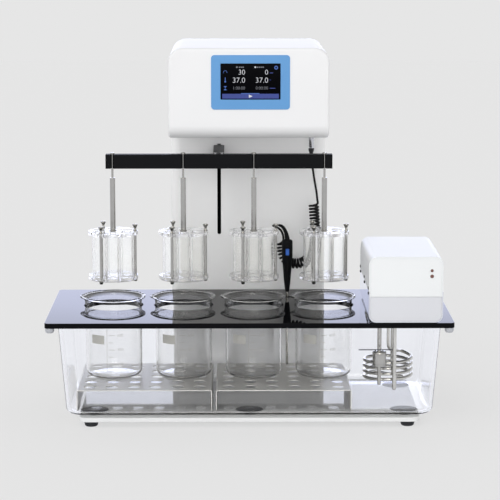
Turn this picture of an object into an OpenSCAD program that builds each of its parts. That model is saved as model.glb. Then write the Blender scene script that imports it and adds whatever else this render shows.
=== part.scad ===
/* [Base] */
// Width of the base plate
base_w = 604; // [560:1:620]
// Depth of the base plate in front of the lid's middle line
base_front = 140.5; // [120:0.5:150]
// Thickness of the base plate
base_t = 8; // [6:0.5:20]
// Corner radius of the base plate
base_r = 14; // [6:1:20]
// Largest diameter of a rubber foot
foot_d = 24; // [18:1:30]
// Height of a rubber foot
foot_h = 10.8; // [8:0.2:16]
// Distance of a foot's centre from the edges of the base plate
foot_inset = 20.5; // [13:0.5:24]

/* [Tower] */
// Width of the tower and of the head
tower_w = 291; // [270:1:310]
// Distance from the lid's middle line to the back of the tower
tower_back = 290; // [280:1:310]
// Depth of the column of the tower
tower_d = 122; // [118:1:126]
// Height of the underside of the head above the bench
head_z = 498; // [490:1:510]
// Thickness of the shell of the tower and the head
shell_t = 3; // [2:0.5:4]
// Radius of the upright edges of the column
tower_r = 18; // [10:1:24]
// Depth of the head
head_d = 279; // [260:1:290]
// Height of the head
head_h = 164; // [140:1:180]
// Radius of the lower front edge of the head
head_chin_r = 24; // [14:1:40]
// Radius of the upper front edge of the head
head_brow_r = 6; // [4:1:20]
// Radius of the head's upper corners, seen from the front
head_top_r = 27; // [16:1:32]
// Radius of the head's lower corners, seen from the front
head_low_r = 5; // [4:0.5:12]

/* [Display] */
// Width of the display bezel
bezel_w = 142; // [130:1:160]
// Height of the display bezel
bezel_h = 98; // [88:1:106]
// How far the bezel stands proud of the head
bezel_proud = 1.2; // [0.5:0.1:3]
// Height of the bezel's lower edge above the underside of the head
bezel_lift = 53.4; // [46:0.2:58]
// Width of the display's lit area
screen_w = 108; // [96:0.5:116]
// Height of the display's lit area
screen_h = 64.8; // [56:0.2:70]
// Height of the lit area's middle above the bezel's middle
screen_lift = 1.4; // [0:0.1:4]

/* [Lift] */
// Distance of the lift's middle plane to the left of the tower's middle
lift_left = 55; // [45:1:65]
// Full travel of the lift
lift_travel = 145; // [110:1:148]
// Width of the slot in the column
slot_w = 7; // [6:0.5:9]
// Length of the lift beam
beam_w = 408; // [400:1:430]
// Depth of the lift beam
beam_d = 18; // [15:0.5:24]
// Height of the lift beam
beam_h = 25.6; // [20:0.2:32]
// Height of the raised beam's underside above the bench
beam_z = 445; // [435:1:450]
// Width of the lift arm
arm_w = 20; // [16:1:30]
// Height of the lift arm
arm_h = 24; // [18:0.5:25]
// Diameter of a guide rod
guide_d = 12; // [8:1:16]
// Distance between the two guide rods
guide_pitch = 64; // [56:1:72]
// Diameter of the lead screw
screw_d = 12; // [10:1:16]
// Width of the drive motor
motor_w = 57; // [42:1:60]

/* [Bath] */
// Room between the outer beaker and the bath's wall, at the bath's floor
bath_room = 22.5; // [12:0.5:26]
// Depth of the bath at its rim
bath_d = 292; // [285:1:310]
// Height of the bath
bath_h = 164.3; // [150:0.1:175]
// How much each wall leans in from rim to floor
bath_lean = 12.5; // [6:0.5:16]
// Thickness of the bath wall
bath_t = 5; // [3:0.5:6]
// Radius of the bath's lower edges
bath_low_r = 13; // [8:1:16]
// Radius of the bath's upright corners
bath_r = 26; // [20:1:40]
// Diameter of a pad under the bath
pad_d = 50; // [30:1:60]
// Thickness of a pad under the bath
pad_t = 1.2; // [0.8:0.1:3]

/* [Lid] */
// Width of the lid
lid_w = 718; // [700:1:740]
// Depth of the lid
lid_d = 325; // [318:1:340]
// Thickness of the lid
lid_t = 9.2; // [5:0.1:12]
// Corner radius of the lid
lid_r = 8; // [4:0.5:14]
// Clearance between the lid's round holes and the beakers
lid_hole_gap = 2.5; // [1.5:0.1:3]
// Diameter of the lid's hole for the temperature probe
probe_hole_d = 14; // [11:0.5:18]
// Height of a corner buffer
buffer_h = 9; // [6:0.5:12]

/* [Beakers] */
// Outer diameter of a beaker
beaker_d = 103; // [100:0.5:105]
// Height of a beaker
beaker_h = 147; // [140:1:150]
// Thickness of the beaker's wall
beaker_t = 2.6; // [1.8:0.1:3.4]
// Outer diameter of the beaker's rim
beaker_rim_d = 115.8; // [110:0.2:118]
// Distance between neighbouring beakers
row_pitch = 128; // [122:1:132]
// Distance of the row of beakers behind the lid's middle line
row_back = 10; // [0:1:14]

/* [Trays] */
// Width of a beaker tray
tray_w = 241; // [236:1:243]
// Depth of a beaker tray
tray_d = 218; // [205:1:225]
// Height of a beaker tray
tray_h = 39.6; // [25:0.1:44]
// Thickness of the tray's sheet
tray_t = 1.5; // [1:0.1:2.5]
// Distance between the two trays
tray_gap = 7; // [3:0.5:12]
// Diameter of the holes in the trays
tray_hole_d = 22.5; // [14:0.5:26]
// Distance between the holes along the width
tray_pitch_x = 39.2; // [34:0.2:40]
// Distance between the holes along the depth
tray_pitch_y = 41; // [34:0.5:42]

/* [Baskets] */
// Diameter of the basket plates
plate_d = 90; // [88:0.5:92]
// Thickness of a basket plate
plate_t = 6; // [5:0.1:8.5]
// Length of a basket tube
tube_l = 77.5; // [75:0.1:80]
// Outer diameter of a basket tube
tube_d = 25; // [24:0.2:26]
// Inner diameter of a basket tube
tube_bore = 21.8; // [20.7:0.1:23]
// Radius of the circle on which the tubes stand
tube_ring = 28.5; // [27:0.1:30]
// Diameter of the holes in the plates under and over the tubes
plate_hole_d = 23.8; // [22:0.1:24]
// Depth of the seat of a tube in a plate
tube_seat = 1.25; // [0.8:0.05:2]
// Thickness of the woven mesh under the basket
mesh_t = 0.6; // [0.4:0.1:1]
// Distance from the top of the beam to the top of the upper plate
basket_drop = 139.6; // [130:0.2:145]
// Diameter of the basket's hanger tube
hanger_d = 9.7; // [8:0.1:12]
// Length of the hanger tube
hanger_l = 97; // [80:1:105]
// Diameter of the rod that hangs in the beam
rod_d = 4; // [3:0.1:5]
// Diameter of a tie rod
tie_d = 5; // [3.5:0.1:6]
// Radius of the circle on which the tie rods stand
rod_ring = 40; // [38:0.2:41]

/* [Heater] */
// Width of the heater housing
heater_w = 130; // [120:1:136]
// Depth of the heater housing
heater_d = 248; // [220:1:260]
// Height of the heater housing
heater_h = 117; // [100:1:130]
// Height of the heater's lower housing
heater_base_h = 46; // [36:1:60]
// Corner radius of the heater housing
heater_r = 14; // [8:1:20]
// Radius of the heater housing's upper rear edge
heater_back_r = 28; // [12:1:40]
// Wall thickness of the heater housing
heater_t = 3; // [2:0.5:4]
// Distance of the heater's left side to the right of the lid's middle
heater_left = 208; // [206:1:214]
// Outer diameter of the heating coil
coil_d = 92; // [80:1:96]
// Diameter of the heating tube
coil_tube_d = 6.5; // [5:0.5:8]
// Distance between two turns of the heating coil
coil_pitch = 10; // [9:0.5:12]
// Diameter of the pump housing
pump_d = 25; // [20:1:30]
// Height of the pump housing
pump_h = 26; // [20:1:32]

/* [Probe] */
// Diameter of the probe's handle
handle_d = 20; // [16:0.5:22]
// Length of the probe's handle
handle_l = 98; // [80:1:104]
// Diameter of the probe's steel stem
stem_d = 5; // [3:0.5:6]
// Diameter of the probe's lead
lead_d = 4; // [3:0.1:5]
// Outer diameter of the curled stretch of the lead
curl_d = 18; // [14:0.5:20]

/* [Fits] */
// Gap between pieces that rest on each other and can part
rest_gap = 0.3; // [0.2:0.05:0.6]
// Radial clearance of turning and sliding shafts
run_gap = 0.06; // [0.03:0.01:0.1]
// Side clearance of the arm's neck in the slot
slot_gap = 0.6; // [0.4:0.1:1]

/* [Hidden] */
$fn = 64;

// Heights, counted from the bench.
base_z = foot_h;
deck_z = base_z + base_t;
bath_z = deck_z + pad_t;
floor_z = bath_z + bath_t;
tray_z = floor_z + tray_h;
beaker_z = tray_z + rest_gap;
lid_z = bath_z + bath_h + rest_gap;
lid_top = lid_z + lid_t;
beam_top = beam_z + beam_h;
plate_top = beam_top - basket_drop;
plate_pitch = tube_l - 2 * tube_seat + plate_t;
low_plate_z = plate_top - plate_t - plate_pitch;

// Places. Each sub-part is drawn with the lid's middle at x = 0, y = 0 and then moved by lid_y,
// which brings the middle of the whole part to the origin.
lid_y = (lid_d / 2 - tower_back) / 2;
row_x0 = -lift_left - 1.5 * row_pitch;
face_y = tower_back - tower_d;
head_y = tower_back - head_d;
bath_w = 2 * (beaker_d / 2 + bath_room + bath_t + bath_lean - row_x0);
deck_edge = 6;
deck_back = bath_d / 2 + deck_edge;
beam_y = row_back - rod_d / 2 - 4;

// Rear cover: vents, mains inlet and switch.
cover_top_r = head_top_r - shell_t;
vent_w = 60;
vent_h = 3;
vent_pitch = 9;
vent_x = 60;
low_vent_z = 150;
high_vent_z = head_z + 62;
inlet_x = 85;
inlet_z = 90;
inlet_w = 27;
inlet_h = 20;
inlet_d = 22;
inlet_lip = 3;
pin_pitch = 7;
rocker_w = 13;
rocker_h = 19;
rocker_depth = 6;
rocker_room = 2;
rocker_pin_d = 4;
rocker_x = inlet_x - 40;

// Lift drive inside the column.
drive_y = face_y + 42;
frame_y = drive_y + 30;
frame_t = 5;
frame_w = guide_pitch + 2 * guide_d;
frame_foot = 40;
arm_z = beam_z + 1;
arm_gap = 3;
seal_w = 14;
seal_lap = 6;
slot_top = arm_z + arm_h + 2;
slot_low = arm_z - lift_travel - 2;
carriage_h = 52;
carriage_z = arm_z + arm_h / 2 - carriage_h / 2;
carriage_w = guide_pitch + 2 * guide_d;
carriage_d = 44;
bearing_h = 20;
bearing_front = 20;
low_bearing_z = carriage_z - lift_travel - 12 - bearing_h;
top_bearing_z = carriage_z + carriage_h + 14;
bush_wall = 3.5;
motor_h = 76;
motor_shelf_z = low_bearing_z - 96;
motor_z = motor_shelf_z - motor_h;
motor_shaft_d = 8;
shaft_in_motor = 10;
coupling_d = 25;
coupling_h = 34;
coupling_z = motor_shelf_z + 30;
neck_w = slot_w - 2 * slot_gap;
screw_head_d = 7;
screw_body_d = 4;
screw_sink = 2;
screw_pitch = 12.6;
notch_w = rod_d + 2 * rest_gap;
tongue_d = 12;
tongue_h = 10;

// Head and display.
bezel_z = head_z + bezel_lift;
bezel_x = 3;
bezel_r = 6;
bezel_t = 4;
screen_z = bezel_z + bezel_h / 2 + screen_lift;
panel_t = 6;
panel_rim = 5;
board_t = 1.6;
board_w = 120;
board_h = 80;
board_gap = 12;
post_d = 6;
chip_w = 30;
chip_h = 6;
supply_x = 25;
supply_w = 95;
supply_d = 50;
supply_h = 160;
supply_gap = 12;

// Bath, trays and lid.
pad_x = bath_w / 2 - 62;
pad_y = bath_d / 2 - 51;
tray_y = -11;
tray_cols = 6;
tray_rows = 5;
tray_shift = 8;
tray_side_r = 6;
tray_left_x = -lift_left - tray_shift - tray_gap / 2 - tray_w / 2;
tray_right_x = tray_left_x + tray_w + tray_gap;
lid_hole_d = beaker_d + 2 * lid_hole_gap;
buffer_r = 8;
buffer_inset = 9;

// Beakers and baskets.
beaker_foot_r = 12;
flare_h = 9;
flare_w = (beaker_rim_d - beaker_d) / 2;
mesh_lap = 3;
nut_h = 5;
hook_d = 8;
hook_h = 3;

// Heater and pump.
heater_y = -lid_d / 2 + 2;
lamp_x = heater_left + heater_w - 20.5;
lamp_z = lid_top + 92.6;
lamp_pitch = 9.7;
lamp_d = 4.4;
dot_d = 4.5;
dot_inset = 13;
dot_low = 4.5;
dot_pitch = 9.5;
coil_x = heater_left + 42;
coil_y = -60;
coil_low_z = floor_z + 48;
coil_turns = 4;
pump_x = heater_left + 22;
pump_y = -122;
pump_z = floor_z + 84;
pump_tube_d = 7.5;
pump_shaft_d = 3;
pump_shaft_in = 25;
pump_motor_d = 34;
pump_motor_h = 36;
pump_neck_d = 16;
pump_neck_h = 6;
outlet_d = 6.4;
outlet_l = 34;
sensor_x = heater_left + 49;
sensor_d = 7;
sensor_drop = 9;
well_x0 = heater_left + 14;
well_x1 = heater_left + 76;
well_y0 = pump_y - 10;
well_y1 = coil_y + 50;

// Probe.
probe_x = 72;
probe_y = 86;
handle_z = lid_top + 10;
handle_top = handle_z + handle_l;
stem_in = 20;
button_z = handle_top - 22;
button_w = 6.4;
button_l = 12;
button_travel = 1;
socket_x = 117;
socket_y = 120;
socket_h = 29;
boot_h = 16;

// The lead from the socket's boot to the curled stretch.
LEAD_ROUTE = [[117, 120, 453], [117.4, 118.5, 442], [119.6, 112, 430], [123.5, 105, 412],
    [127.3, 101, 393], [128.4, 100, 381], [127.4, 100, 369.2]];
// The middle line of the curled stretch.
CURL_ROUTE = [[121, 100, 368.6], [122.5, 100, 346], [123.9, 100, 325], [122.5, 102, 299],
    [117, 104.5, 275], [106, 107, 258.5], [91, 109.5, 253], [77, 110.5, 255],
    [66.6, 110.5, 266], [62.7, 110, 283], [62.4, 110, 300]];
// The lead from the curled stretch to the probe's strain relief.
HOOK_ROUTE = [[62.2, 110, 300.6], [61, 109.5, 310], [57, 107.5, 317.5], [50.5, 103.5, 321],
    [46.2, 97.5, 323], [49, 91.5, 326.5], [56, 88, 329]];
// The middle line of the strain relief.
RELIEF_ROUTE = [[56, 88, 329], [63, 86.5, 326], [68.5, 86, 317], [71.2, 86, 308], [72, 86, 301.8]];

BEAKERS = ["beaker_1", "beaker_2", "beaker_3", "beaker_4"];
PLATES = ["basket_1_plates", "basket_2_plates", "basket_3_plates", "basket_4_plates"];
TUBES = ["basket_1_tubes", "basket_2_tubes", "basket_3_tubes", "basket_4_tubes"];
FRAMES = ["basket_1_frame", "basket_2_frame", "basket_3_frame", "basket_4_frame"];

// ---------- shared shapes ----------

module at_lid() {
    translate([0, lid_y, 0]) children();
}

// A rectangle whose corners have radii [low left, low right, high right, high left].
module soft_rect(w, h, radii) {
    difference() {
        square([w, h]);
        for (i = [0:3]) {
            r = radii[i];
            right = i == 1 || i == 2 ? 1 : 0;
            high = i > 1 ? 1 : 0;
            if (r > 0)
                translate([right * w, high * h]) mirror([right, 0]) mirror([0, high]) difference() {
                    translate([-1, -1]) square(r + 1);
                    translate([r, r]) circle(r);
                }
        }
    }
}

module soft_plate(w, d, h, r) {
    linear_extrude(h) translate([-w / 2, -d / 2]) soft_rect(w, d, [r, r, r, r]);
}

// Draws a shape given in x, z and gives it a depth from y = 0 backwards.
module upright(depth) {
    translate([0, depth, 0]) rotate([90, 0, 0]) linear_extrude(depth) children();
}

// Draws a shape given in y, z and gives it a width along x, centred.
module across(width) {
    translate([-width / 2, 0, 0]) rotate([90, 0, 90]) linear_extrude(width) children();
}

module ring(d, bore, h) {
    difference() {
        cylinder(d = d, h = h);
        translate([0, 0, -1]) cylinder(d = bore, h = h + 2);
    }
}

function unit(v) = v / norm(v);

// Points along a smooth curve through the points p, with n steps between two of them.
function smooth_line(p, n) = concat([for (i = [0:len(p) - 2], k = [0:n - 1])
    let (t = k / n, a = p[max(i - 1, 0)], b = p[i], c = p[i + 1], d = p[min(i + 2, len(p) - 1)])
    0.5 * (2 * b + (c - a) * t + (2 * a - 5 * b + 4 * c - d) * t * t
        + (3 * b - a - 3 * c + d) * t * t * t)], [p[len(p) - 1]]);

function heading(p, i) = unit(p[min(i + 1, len(p) - 1)] - p[max(i - 1, 0)]);

// A side direction at each point, turned as little as possible from one point to the next.
function sides_along(p, i = 0, side = [0, 1, 0], out = []) = i >= len(p) ? out
    : let (t = heading(p, i), s = unit(side - t * (side * t)))
        sides_along(p, i + 1, s, concat(out, [s]));

// A closed tube along the points p, with a radius at each point and a number of sides.
module tube_along(p, radii, sides) {
    s = sides_along(p);
    rings = [for (i = [0:len(p) - 1], k = [0:sides - 1])
        let (t = heading(p, i), a = 360 * k / sides, up = cross(t, s[i]))
        p[i] + radii[i] * (cos(a) * s[i] + sin(a) * up)];
    last = (len(p) - 1) * sides;
    polyhedron(rings, concat(
        [[for (k = [0:sides - 1]) k]],
        [for (i = [0:len(p) - 2], k = [0:sides - 1]) let (n = (k + 1) % sides)
            [i * sides + k, (i + 1) * sides + k, (i + 1) * sides + n, i * sides + n]],
        [[for (k = [sides - 1:-1:0]) last + k]]));
}

function even(p, r) = [for (i = [0:len(p) - 1]) r];

// ---------- base and tower ----------

module deck_outline() {
    translate([-base_w / 2, -base_front])
        soft_rect(base_w, base_front + deck_back, [base_r, base_r, base_r, base_r]);
    translate([-tower_w / 2, deck_back - 2 * base_r])
        soft_rect(tower_w, tower_back - deck_back + 2 * base_r, [0, 0, tower_r, tower_r]);
}

module base_plate() color("gainsboro") at_lid()
    translate([0, 0, base_z]) linear_extrude(base_t) deck_outline();

module foot() {
    rotate_extrude() polygon([[0, 0], [foot_d / 2 - 3, 0], [foot_d / 2 - 1.2, 1.5],
        [foot_d / 2, foot_h - 2], [foot_d / 2, foot_h], [0, foot_h]]);
}

module rubber_feet() color([0.1, 0.1, 0.12]) at_lid() {
    for (side = [-1, 1]) {
        translate([side * (base_w / 2 - foot_inset), -base_front + foot_inset, 0]) foot();
        translate([side * (tower_w / 2 - foot_inset), tower_back - foot_inset, 0]) foot();
    }
}

module column_outline(inset) {
    r = tower_r - inset;
    translate([-tower_w / 2 + inset, face_y + inset])
        soft_rect(tower_w - 2 * inset, tower_d, [r, r, 0, 0]);
}

module slot_shape() {
    translate([-slot_w / 2, slot_low + slot_w / 2]) square([slot_w, slot_top - slot_low - slot_w / 2]);
    translate([0, slot_low + slot_w / 2]) circle(d = slot_w);
}

module tower_shell() color("white") at_lid()
    difference() {
        translate([0, 0, deck_z]) linear_extrude(head_z - deck_z) difference() {
            intersection() {
                column_outline(0);
                translate([-tower_w, 0]) square([2 * tower_w, tower_back]);
            }
            column_outline(shell_t);
        }
        translate([-lift_left, face_y - 1, 0]) upright(shell_t + 2) slot_shape();
    }

module head_side(inset) {
    translate([head_y + inset, head_z + inset]) soft_rect(head_d + 2, head_h - 2 * inset,
        [head_chin_r - inset, 0, 0, head_brow_r - inset]);
}

module head_front(inset) {
    low = head_low_r - inset;
    high = head_top_r - inset;
    translate([-tower_w / 2 + inset, head_z + inset])
        soft_rect(tower_w - 2 * inset, head_h - 2 * inset, [low, low, high, high]);
}

module head_form(inset) {
    intersection() {
        across(2 * tower_w) head_side(inset);
        translate([0, head_y - 1, 0]) upright(head_d + 8) head_front(inset);
    }
}

module bezel_seat(grow) {
    translate([bezel_x - bezel_w / 2 - grow, bezel_z - grow]) soft_rect(bezel_w + 2 * grow,
        bezel_h + 2 * grow, [bezel_r, bezel_r, bezel_r, bezel_r]);
}

module head_shell() color("white") at_lid()
    difference() {
        head_form(0);
        head_form(shell_t);
        translate([-tower_w, tower_back, 0]) cube([2 * tower_w, 20, 2 * head_z]);
        translate([0, 0, head_z - 1]) linear_extrude(shell_t + 2) column_outline(shell_t);
        translate([0, head_y - 1, 0]) upright(shell_t + 2) bezel_seat(-3);
        translate([socket_x, socket_y, head_z - 1]) cylinder(d = 6, h = shell_t + 2);
    }

module vent_rows(x, z, n) {
    for (i = [0:n - 1]) translate([x, z + vent_pitch * i]) {
        square([vent_w, vent_h], center = true);
        for (side = [-1, 1]) translate([side * vent_w / 2, 0]) circle(d = vent_h);
    }
}

module rear_cover() color("whitesmoke") at_lid()
    difference() {
        translate([0, tower_back - shell_t, 0]) upright(shell_t)
            translate([-tower_w / 2 + shell_t, deck_z])
            soft_rect(tower_w - 2 * shell_t, head_z + head_h - shell_t - deck_z,
                [0, 0, cover_top_r, cover_top_r]);
        translate([0, tower_back - shell_t - 1, 0]) upright(shell_t + 2) {
            vent_rows(-vent_x, low_vent_z, 8);
            vent_rows(vent_x, high_vent_z, 6);
            translate([inlet_x, inlet_z]) square([inlet_w, inlet_h], center = true);
            translate([rocker_x, inlet_z]) square([rocker_w, rocker_h + 2 * rocker_room], center = true);
        }
    }

// ---------- display and electrics ----------

module display_bezel() color("skyblue") at_lid()
    difference() {
        translate([0, head_y - bezel_proud, 0]) {
            upright(bezel_proud) bezel_seat(0);
            upright(bezel_t + bezel_proud) bezel_seat(-3);
        }
        translate([bezel_x, head_y - 2 * bezel_proud, screen_z]) upright(bezel_t + 3 * bezel_proud)
            square([screen_w, screen_h], center = true);
    }

module display_panel() color([0.05, 0.06, 0.08]) at_lid()
    translate([bezel_x, head_y + bezel_t, screen_z]) {
        upright(panel_t) square([screen_w + 2 * panel_rim, screen_h + 2 * panel_rim], center = true);
        translate([0, -bezel_t, 0]) upright(bezel_t) square([screen_w, screen_h], center = true);
    }

module control_board() color("darkgreen") at_lid()
    translate([bezel_x, head_y + bezel_t + panel_t, screen_z]) {
        translate([0, board_gap, 0]) upright(board_t) square([board_w, board_h], center = true);
        for (x = [-1, 1], z = [-1, 1])
            translate([x * (board_w / 2 - 2 * post_d), 0, z * (board_h / 2 - 2 * post_d)])
                upright(board_gap) circle(d = post_d);
        translate([-chip_w / 2, board_gap + board_t, -chip_w / 3]) upright(chip_h) square(chip_w);
    }

module power_supply() color("silver") at_lid()
    translate([supply_x, face_y + shell_t + supply_gap, deck_z]) difference() {
        cube([supply_w, supply_d, supply_h]);
        for (i = [0:7]) translate([supply_w * 0.1, -1, supply_h / 2 + 8 * i]) cube([supply_w * 0.8, 2, 3]);
    }

// Two cheeks behind the rear cover, with the pin that the rocker turns on.
module switch_frame() {
    for (side = [-1, 1]) translate([side * (rocker_w / 2 + 1), -rocker_depth, 0])
        across(2) translate([0, -rocker_h / 2]) square([2 * rocker_depth, rocker_h]);
    across(rocker_w) circle(d = rocker_pin_d);
}

module power_inlet() color([0.12, 0.12, 0.13]) at_lid() {
    translate([rocker_x, tower_back - shell_t - rocker_depth, inlet_z]) switch_frame();
    translate([inlet_x, tower_back - shell_t - inlet_d, inlet_z]) difference() {
        union() {
            upright(inlet_d + shell_t) square([inlet_w, inlet_h], center = true);
            upright(inlet_d) square([inlet_w + 2 * inlet_lip, inlet_h + 2 * inlet_lip], center = true);
        }
        translate([0, 6, 0]) upright(inlet_d + shell_t) difference() {
            square([inlet_w - 4, inlet_h - 4], center = true);
            for (i = [-1:1]) translate([i * pin_pitch, i == 0 ? 2 : -1]) square([2, 4], center = true);
        }
    }
}

// The rocker turns about an axis along x at its middle, in a frame with two round pin seats.
module power_switch() color([0.1, 0.1, 0.1]) at_lid()
    translate([rocker_x, tower_back - shell_t - rocker_depth, inlet_z]) difference() {
        across(rocker_w - 2)
            polygon([[-4, -6], [4, -6], [8.6, -8], [6.6, 0], [8.6, 8], [4, 6], [-4, 6]]);
        across(rocker_w) circle(d = rocker_pin_d + 2 * run_gap);
    }

module probe_socket() color("silver") at_lid()
    translate([socket_x, socket_y, head_z - socket_h]) {
        ring(9, 4, socket_h);
        for (z = [3, 8, 13]) translate([0, 0, z]) ring(10, 8.9, 2);
        translate([0, 0, -boot_h]) rotate_extrude() polygon([[lead_d / 2, 0], [3.2, 0], [5.2, boot_h - 3],
            [5.2, boot_h], [lead_d / 2, boot_h]]);
        translate([0, 0, socket_h - 2]) ring(13, 8.9, 2);
    }

// ---------- lift drive ----------

module slot_seal() color([0.08, 0.08, 0.08]) at_lid()
    translate([-lift_left, face_y + shell_t, slot_low - seal_lap])
        for (side = [-1, 1])
            translate([side * (neck_w / 2 + slot_gap + seal_w / 2) - seal_w / 2, 0, 0])
                cube([seal_w, shell_t, slot_top - slot_low + 2 * seal_lap]);

module drive_frame() color("lightgray") at_lid()
    translate([-lift_left, 0, 0]) {
        translate([-frame_w / 2, frame_y, deck_z])
            cube([frame_w, frame_t, top_bearing_z + bearing_h - deck_z]);
        translate([-frame_w / 2, frame_y - frame_foot, deck_z]) cube([frame_w, frame_foot, frame_t]);
        difference() {
            translate([-frame_w / 2, drive_y - motor_w / 2, motor_shelf_z])
                cube([frame_w, frame_y - drive_y + motor_w / 2, frame_t]);
            translate([0, drive_y, motor_shelf_z - 1]) cylinder(d = motor_shaft_d + 6, h = frame_t + 2);
        }
    }

module drive_motor() color("dimgray") at_lid()
    translate([-lift_left, drive_y, motor_z]) difference() {
        soft_plate(motor_w, motor_w, motor_h, 5);
        translate([0, 0, motor_h - shaft_in_motor - 2])
            cylinder(d = motor_shaft_d + 2 * run_gap, h = shaft_in_motor + 3);
    }

module guide_rods() color("silver") at_lid()
    for (side = [-1, 1])
        translate([-lift_left + side * guide_pitch / 2, drive_y, low_bearing_z])
            cylinder(d = guide_d, h = top_bearing_z + bearing_h - low_bearing_z);

module bearing_block() {
    difference() {
        translate([-frame_w / 2, -bearing_front, 0])
            cube([frame_w, frame_y - drive_y + bearing_front, bearing_h]);
        translate([0, 0, -1]) cylinder(d = screw_d + 2 * run_gap, h = bearing_h + 2);
        for (side = [-1, 1])
            translate([side * guide_pitch / 2, 0, -1]) cylinder(d = guide_d, h = bearing_h + 2);
    }
}

module screw_bearings() color("gray") at_lid()
    translate([-lift_left, drive_y, 0]) {
        translate([0, 0, low_bearing_z]) bearing_block();
        translate([0, 0, top_bearing_z]) bearing_block();
    }

module shaft_coupling() color("lightsteelblue") at_lid()
    translate([-lift_left, drive_y, 0]) {
        translate([0, 0, coupling_z]) ring(coupling_d, motor_shaft_d, coupling_h);
        translate([0, 0, motor_shelf_z - shaft_in_motor])
            cylinder(d = motor_shaft_d, h = coupling_z + coupling_h / 2 - 1 - motor_shelf_z + shaft_in_motor);
    }

module lead_screw() color("silver") at_lid()
    translate([-lift_left, drive_y, 0]) {
        translate([0, 0, coupling_z + coupling_h / 2]) cylinder(d = motor_shaft_d, h = coupling_h / 2);
        translate([0, 0, coupling_z + coupling_h])
            cylinder(d = screw_d, h = top_bearing_z + bearing_h - coupling_z - coupling_h);
    }

module carriage() color("lightgray") at_lid()
    translate([-lift_left, drive_y, carriage_z]) difference() {
        translate([-carriage_w / 2, -carriage_d / 2, 0]) cube([carriage_w, carriage_d, carriage_h]);
        translate([0, 0, -1]) cylinder(d = screw_d + 2 * bush_wall, h = carriage_h + 2);
        for (side = [-1, 1]) translate([side * guide_pitch / 2, 0, -1])
            cylinder(d = guide_d + 2 * bush_wall, h = carriage_h + 2);
    }

module carriage_bushes() color("goldenrod") at_lid()
    translate([-lift_left, drive_y, carriage_z]) {
        ring(screw_d + 2 * bush_wall, screw_d + 2 * run_gap, carriage_h);
        for (side = [-1, 1]) translate([side * guide_pitch / 2, 0, 0])
            ring(guide_d + 2 * bush_wall, guide_d + 2 * run_gap, carriage_h);
    }

module lift_arm() color([0.29, 0.29, 0.31]) at_lid()
    translate([-lift_left, 0, arm_z]) difference() {
        union() {
            translate([-arm_w / 2, beam_y + beam_d, 0])
                cube([arm_w, face_y - arm_gap - beam_y - beam_d, arm_h]);
            translate([-arm_w / 2, beam_y + beam_d - tongue_d, 0]) cube([arm_w, tongue_d + 1, tongue_h]);
            translate([-neck_w / 2, face_y - arm_gap - 1, 0])
                cube([neck_w, drive_y - carriage_d / 2 - face_y + arm_gap + 1, arm_h]);
        }
        for (side = [-1, 1]) translate([side * screw_pitch / 2, beam_y + beam_d - tongue_d / 2, -1])
            cylinder(d = screw_body_d, h = tongue_h + 2);
    }

module lift_beam() color([0.1, 0.1, 0.12]) at_lid()
    translate([-lift_left, beam_y, beam_z]) difference() {
        translate([-beam_w / 2, 0, 0]) cube([beam_w, beam_d, beam_h]);
        for (i = [0:3]) translate([row_x0 + lift_left + i * row_pitch, row_back - beam_y, -1]) {
            cylinder(d = notch_w, h = beam_h + 2);
            translate([-notch_w / 2, -beam_d, 0]) cube([notch_w, beam_d, beam_h + 2]);
        }
        translate([-arm_w / 2, beam_d - tongue_d, -1]) cube([arm_w, tongue_d + 1, tongue_h + 2]);
        for (side = [-1, 1]) translate([side * screw_pitch / 2, beam_d - tongue_d / 2, 0]) {
            cylinder(d = screw_body_d, h = beam_h + 1);
            translate([0, 0, beam_h - screw_sink]) cylinder(d = screw_head_d, h = screw_sink + 1);
        }
    }

module beam_screws() color("silver") at_lid()
    translate([-lift_left, beam_y + beam_d - tongue_d / 2, 0])
        for (side = [-1, 1]) translate([side * screw_pitch / 2, 0, 0]) difference() {
            union() {
                translate([0, 0, arm_z]) cylinder(d = screw_body_d, h = beam_top - arm_z - 1);
                translate([0, 0, beam_top - screw_sink]) cylinder(d = screw_head_d, h = screw_sink + 1);
            }
            translate([0, 0, beam_top - 0.5]) cylinder(d = 3, h = 3, $fn = 6);
        }

// ---------- bath, trays and lid ----------

// One closed tub form: r is the radius of its lower edges.
module tub(w, d, z0, z1, lean, corner, r) {
    h = z1 - z0;
    hull() {
        for (a = [0, 30, 60, 90]) {
            in = lean * (1 - r * (1 - cos(a)) / h) + r * (1 - sin(a));
            translate([0, 0, z0 + r * (1 - cos(a))])
                soft_plate(w - 2 * in, d - 2 * in, 0.01, corner - 0.6 * r * (1 - sin(a)), $fn = 32);
        }
        translate([0, 0, z1 - 0.01]) soft_plate(w, d, 0.01, corner, $fn = 32);
    }
}

module bath() color([0.9, 0.93, 1, 0.4]) at_lid()
    difference() {
        tub(bath_w, bath_d, bath_z, bath_z + bath_h, bath_lean, bath_r, bath_low_r);
        tub(bath_w - 2 * bath_t, bath_d - 2 * bath_t, floor_z, bath_z + bath_h + 1, bath_lean,
            bath_r - bath_t / 2, bath_low_r - bath_t);
    }

module bath_pads() color([0.2, 0.2, 0.22]) at_lid()
    for (x = [-pad_x, 0, pad_x], y = [-pad_y, pad_y])
        translate([x, y, deck_z]) cylinder(d = pad_d, h = pad_t);

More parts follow.
